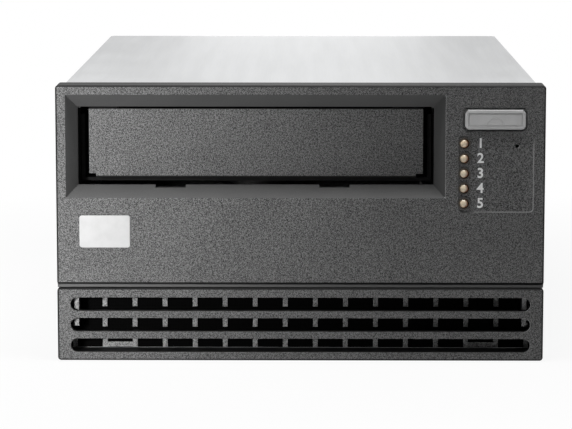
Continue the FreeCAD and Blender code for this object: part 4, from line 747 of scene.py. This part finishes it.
dress_frame()
numbers(*light_rims())
blank_plate()
eject_cap()
button_arch()
seam_strip()
field_line()
drive_contacts()
service_springs()
screws("cover_screws", 0, head=2.5 * MM, thick=1.0 * MM, shank=1.25 * MM, length=4.0 * MM)
screws("rear_screws", 1, head=1.25 * MM, thick=1.2 * MM, shank=0.625 * MM, length=3.5 * MM)
screws("fan_screws", 1, head=2.5 * MM, thick=1.2 * MM, shank=1.25 * MM, length=6.0 * MM)


# ---- studio ---------------------------------------------------------------------------------

def aim(thing, at, towards):
    """Put a lamp or camera at a place, looking at another."""
    thing.location = at
    thing.rotation_euler = (Vector(towards) - Vector(at)).to_track_quat("-Z", "Y").to_euler()
    bpy.context.scene.collection.objects.link(thing)
    return thing


def camera():
    """A long lens in front of the drive and a little above it."""
    aside, distance, height = 3.24 * MM, 814.5 * MM, 161.6 * MM
    lens = bpy.data.cameras.new("studio_camera")
    lens.lens = 169.4
    lens.clip_end = 20
    stand = Vector((aside, FACE - distance, height))
    sight = Vector((-0.00935, 1, -0.1426))
    bpy.context.scene.camera = aim(
        bpy.data.objects.new("studio_camera", lens), stand, stand + sight)


def lamp(kind, name, energy, at, towards, **settings):
    """A lamp that the camera doesn't see."""
    light = bpy.data.lights.new(name, kind)
    light.energy = energy
    for setting, amount in settings.items():
        setattr(light, setting, amount)
    stand = aim(bpy.data.objects.new(name, light), at, towards)
    stand.visible_camera = False


def mixed(tree, share, first, second):
    """One shader going over to another by a share."""
    mix = tree.nodes.new("ShaderNodeMixShader")
    for place, socket in enumerate((share, first, second)):
        tree.links.new(socket, mix.inputs[place])
    return mix.outputs[0]


def background(tree, out, white, ambient):
    """White where it is seen or mirrored, a plain level where it only lights."""
    rays = tree.nodes.new("ShaderNodeLightPath")
    seen = rays.outputs["Is Camera Ray"]
    for ray in ("Is Glossy Ray", "Is Transmission Ray"):
        either = tree.nodes.new("ShaderNodeMath")
        either.operation = "ADD"
        tree.links.new(rays.outputs[ray], either.inputs[0])
        tree.links.new(seen, either.inputs[1])
        seen = either.outputs[0]
    tree.links.new(mixed(tree, seen, ambient, white), out)


def fill(node, values):
    """Write plain values in a node's sockets."""
    for socket, amount in values.items():
        node.inputs[socket].default_value = amount


def world():
    """A white room that gives only a little light."""
    sky = bpy.data.worlds.new("studio_world")
    bpy.context.scene.world = sky
    sky.use_nodes = True
    tree = sky.node_tree
    ambient = tree.nodes["Background"]
    fill(ambient, {"Color": (0.98, 0.99, 1.0, 1), "Strength": 0.03})
    white = tree.nodes.new("ShaderNodeBackground")
    fill(white, {"Color": (1, 1, 1, 1), "Strength": 1.0})
    background(tree, tree.nodes["World Output"].inputs["Surface"],
               white.outputs[0], ambient.outputs[0])


def floor():
    """A pale floor that goes over to white away from the drive and keeps a soft shadow."""
    gap = 0.2 * MM
    bpy.ops.object.select_all(action="DESELECT")
    bpy.ops.mesh.primitive_plane_add(size=8, location=(0, 0, cad_box[0].z - gap))
    plane = bpy.context.active_object
    plane.name = "studio_floor"
    paper = bpy.data.materials.new("studio_paper")
    paper.use_nodes = True
    tree = paper.node_tree
    card = tree.nodes["Principled BSDF"]
    fill(card, {"Base Color": (0.82, 0.82, 0.82, 1), "Roughness": 0.9, "Specular IOR Level": 0.0})
    white = tree.nodes.new("ShaderNodeEmission")
    fill(white, {"Strength": 1.0})
    place = tree.nodes.new("ShaderNodeTexCoord")
    away = tree.nodes.new("ShaderNodeVectorMath")
    away.operation = "LENGTH"
    tree.links.new(place.outputs["Object"], away.inputs[0])
    share = tree.nodes.new("ShaderNodeMapRange")
    fill(share, {"From Min": 0.10, "From Max": 0.30, "To Min": 0.88, "To Max": 1.0})
    tree.links.new(away.outputs["Value"], share.inputs["Value"])
    seen = mixed(tree, share.outputs[0], card.outputs[0], white.outputs[0])
    background(tree, tree.nodes["Material Output"].inputs["Surface"], seen, card.outputs[0])
    plane.data.materials.append(paper)


camera()
world()
floor()
lamp("SPOT", "key_spot", 46, (-0.34, FACE - 0.62, 0.16), (-0.155, FACE, 0.07),
     spot_size=math.radians(24), spot_blend=1.0, shadow_soft_size=0.08)
lamp("AREA", "top_panel", 2.8, (0.0, FACE - 0.06, 0.55), (0.0, FACE, 0.03),
     shape="RECTANGLE", size=0.4, size_y=0.16)
lamp("AREA", "back_panel", 0.09, (0.0, 0.44, 0.15), (0.0, 0.0, 0.085),
     shape="RECTANGLE", size=0.12, size_y=0.12)

bpy.context.scene.view_settings.view_transform = "Standard"
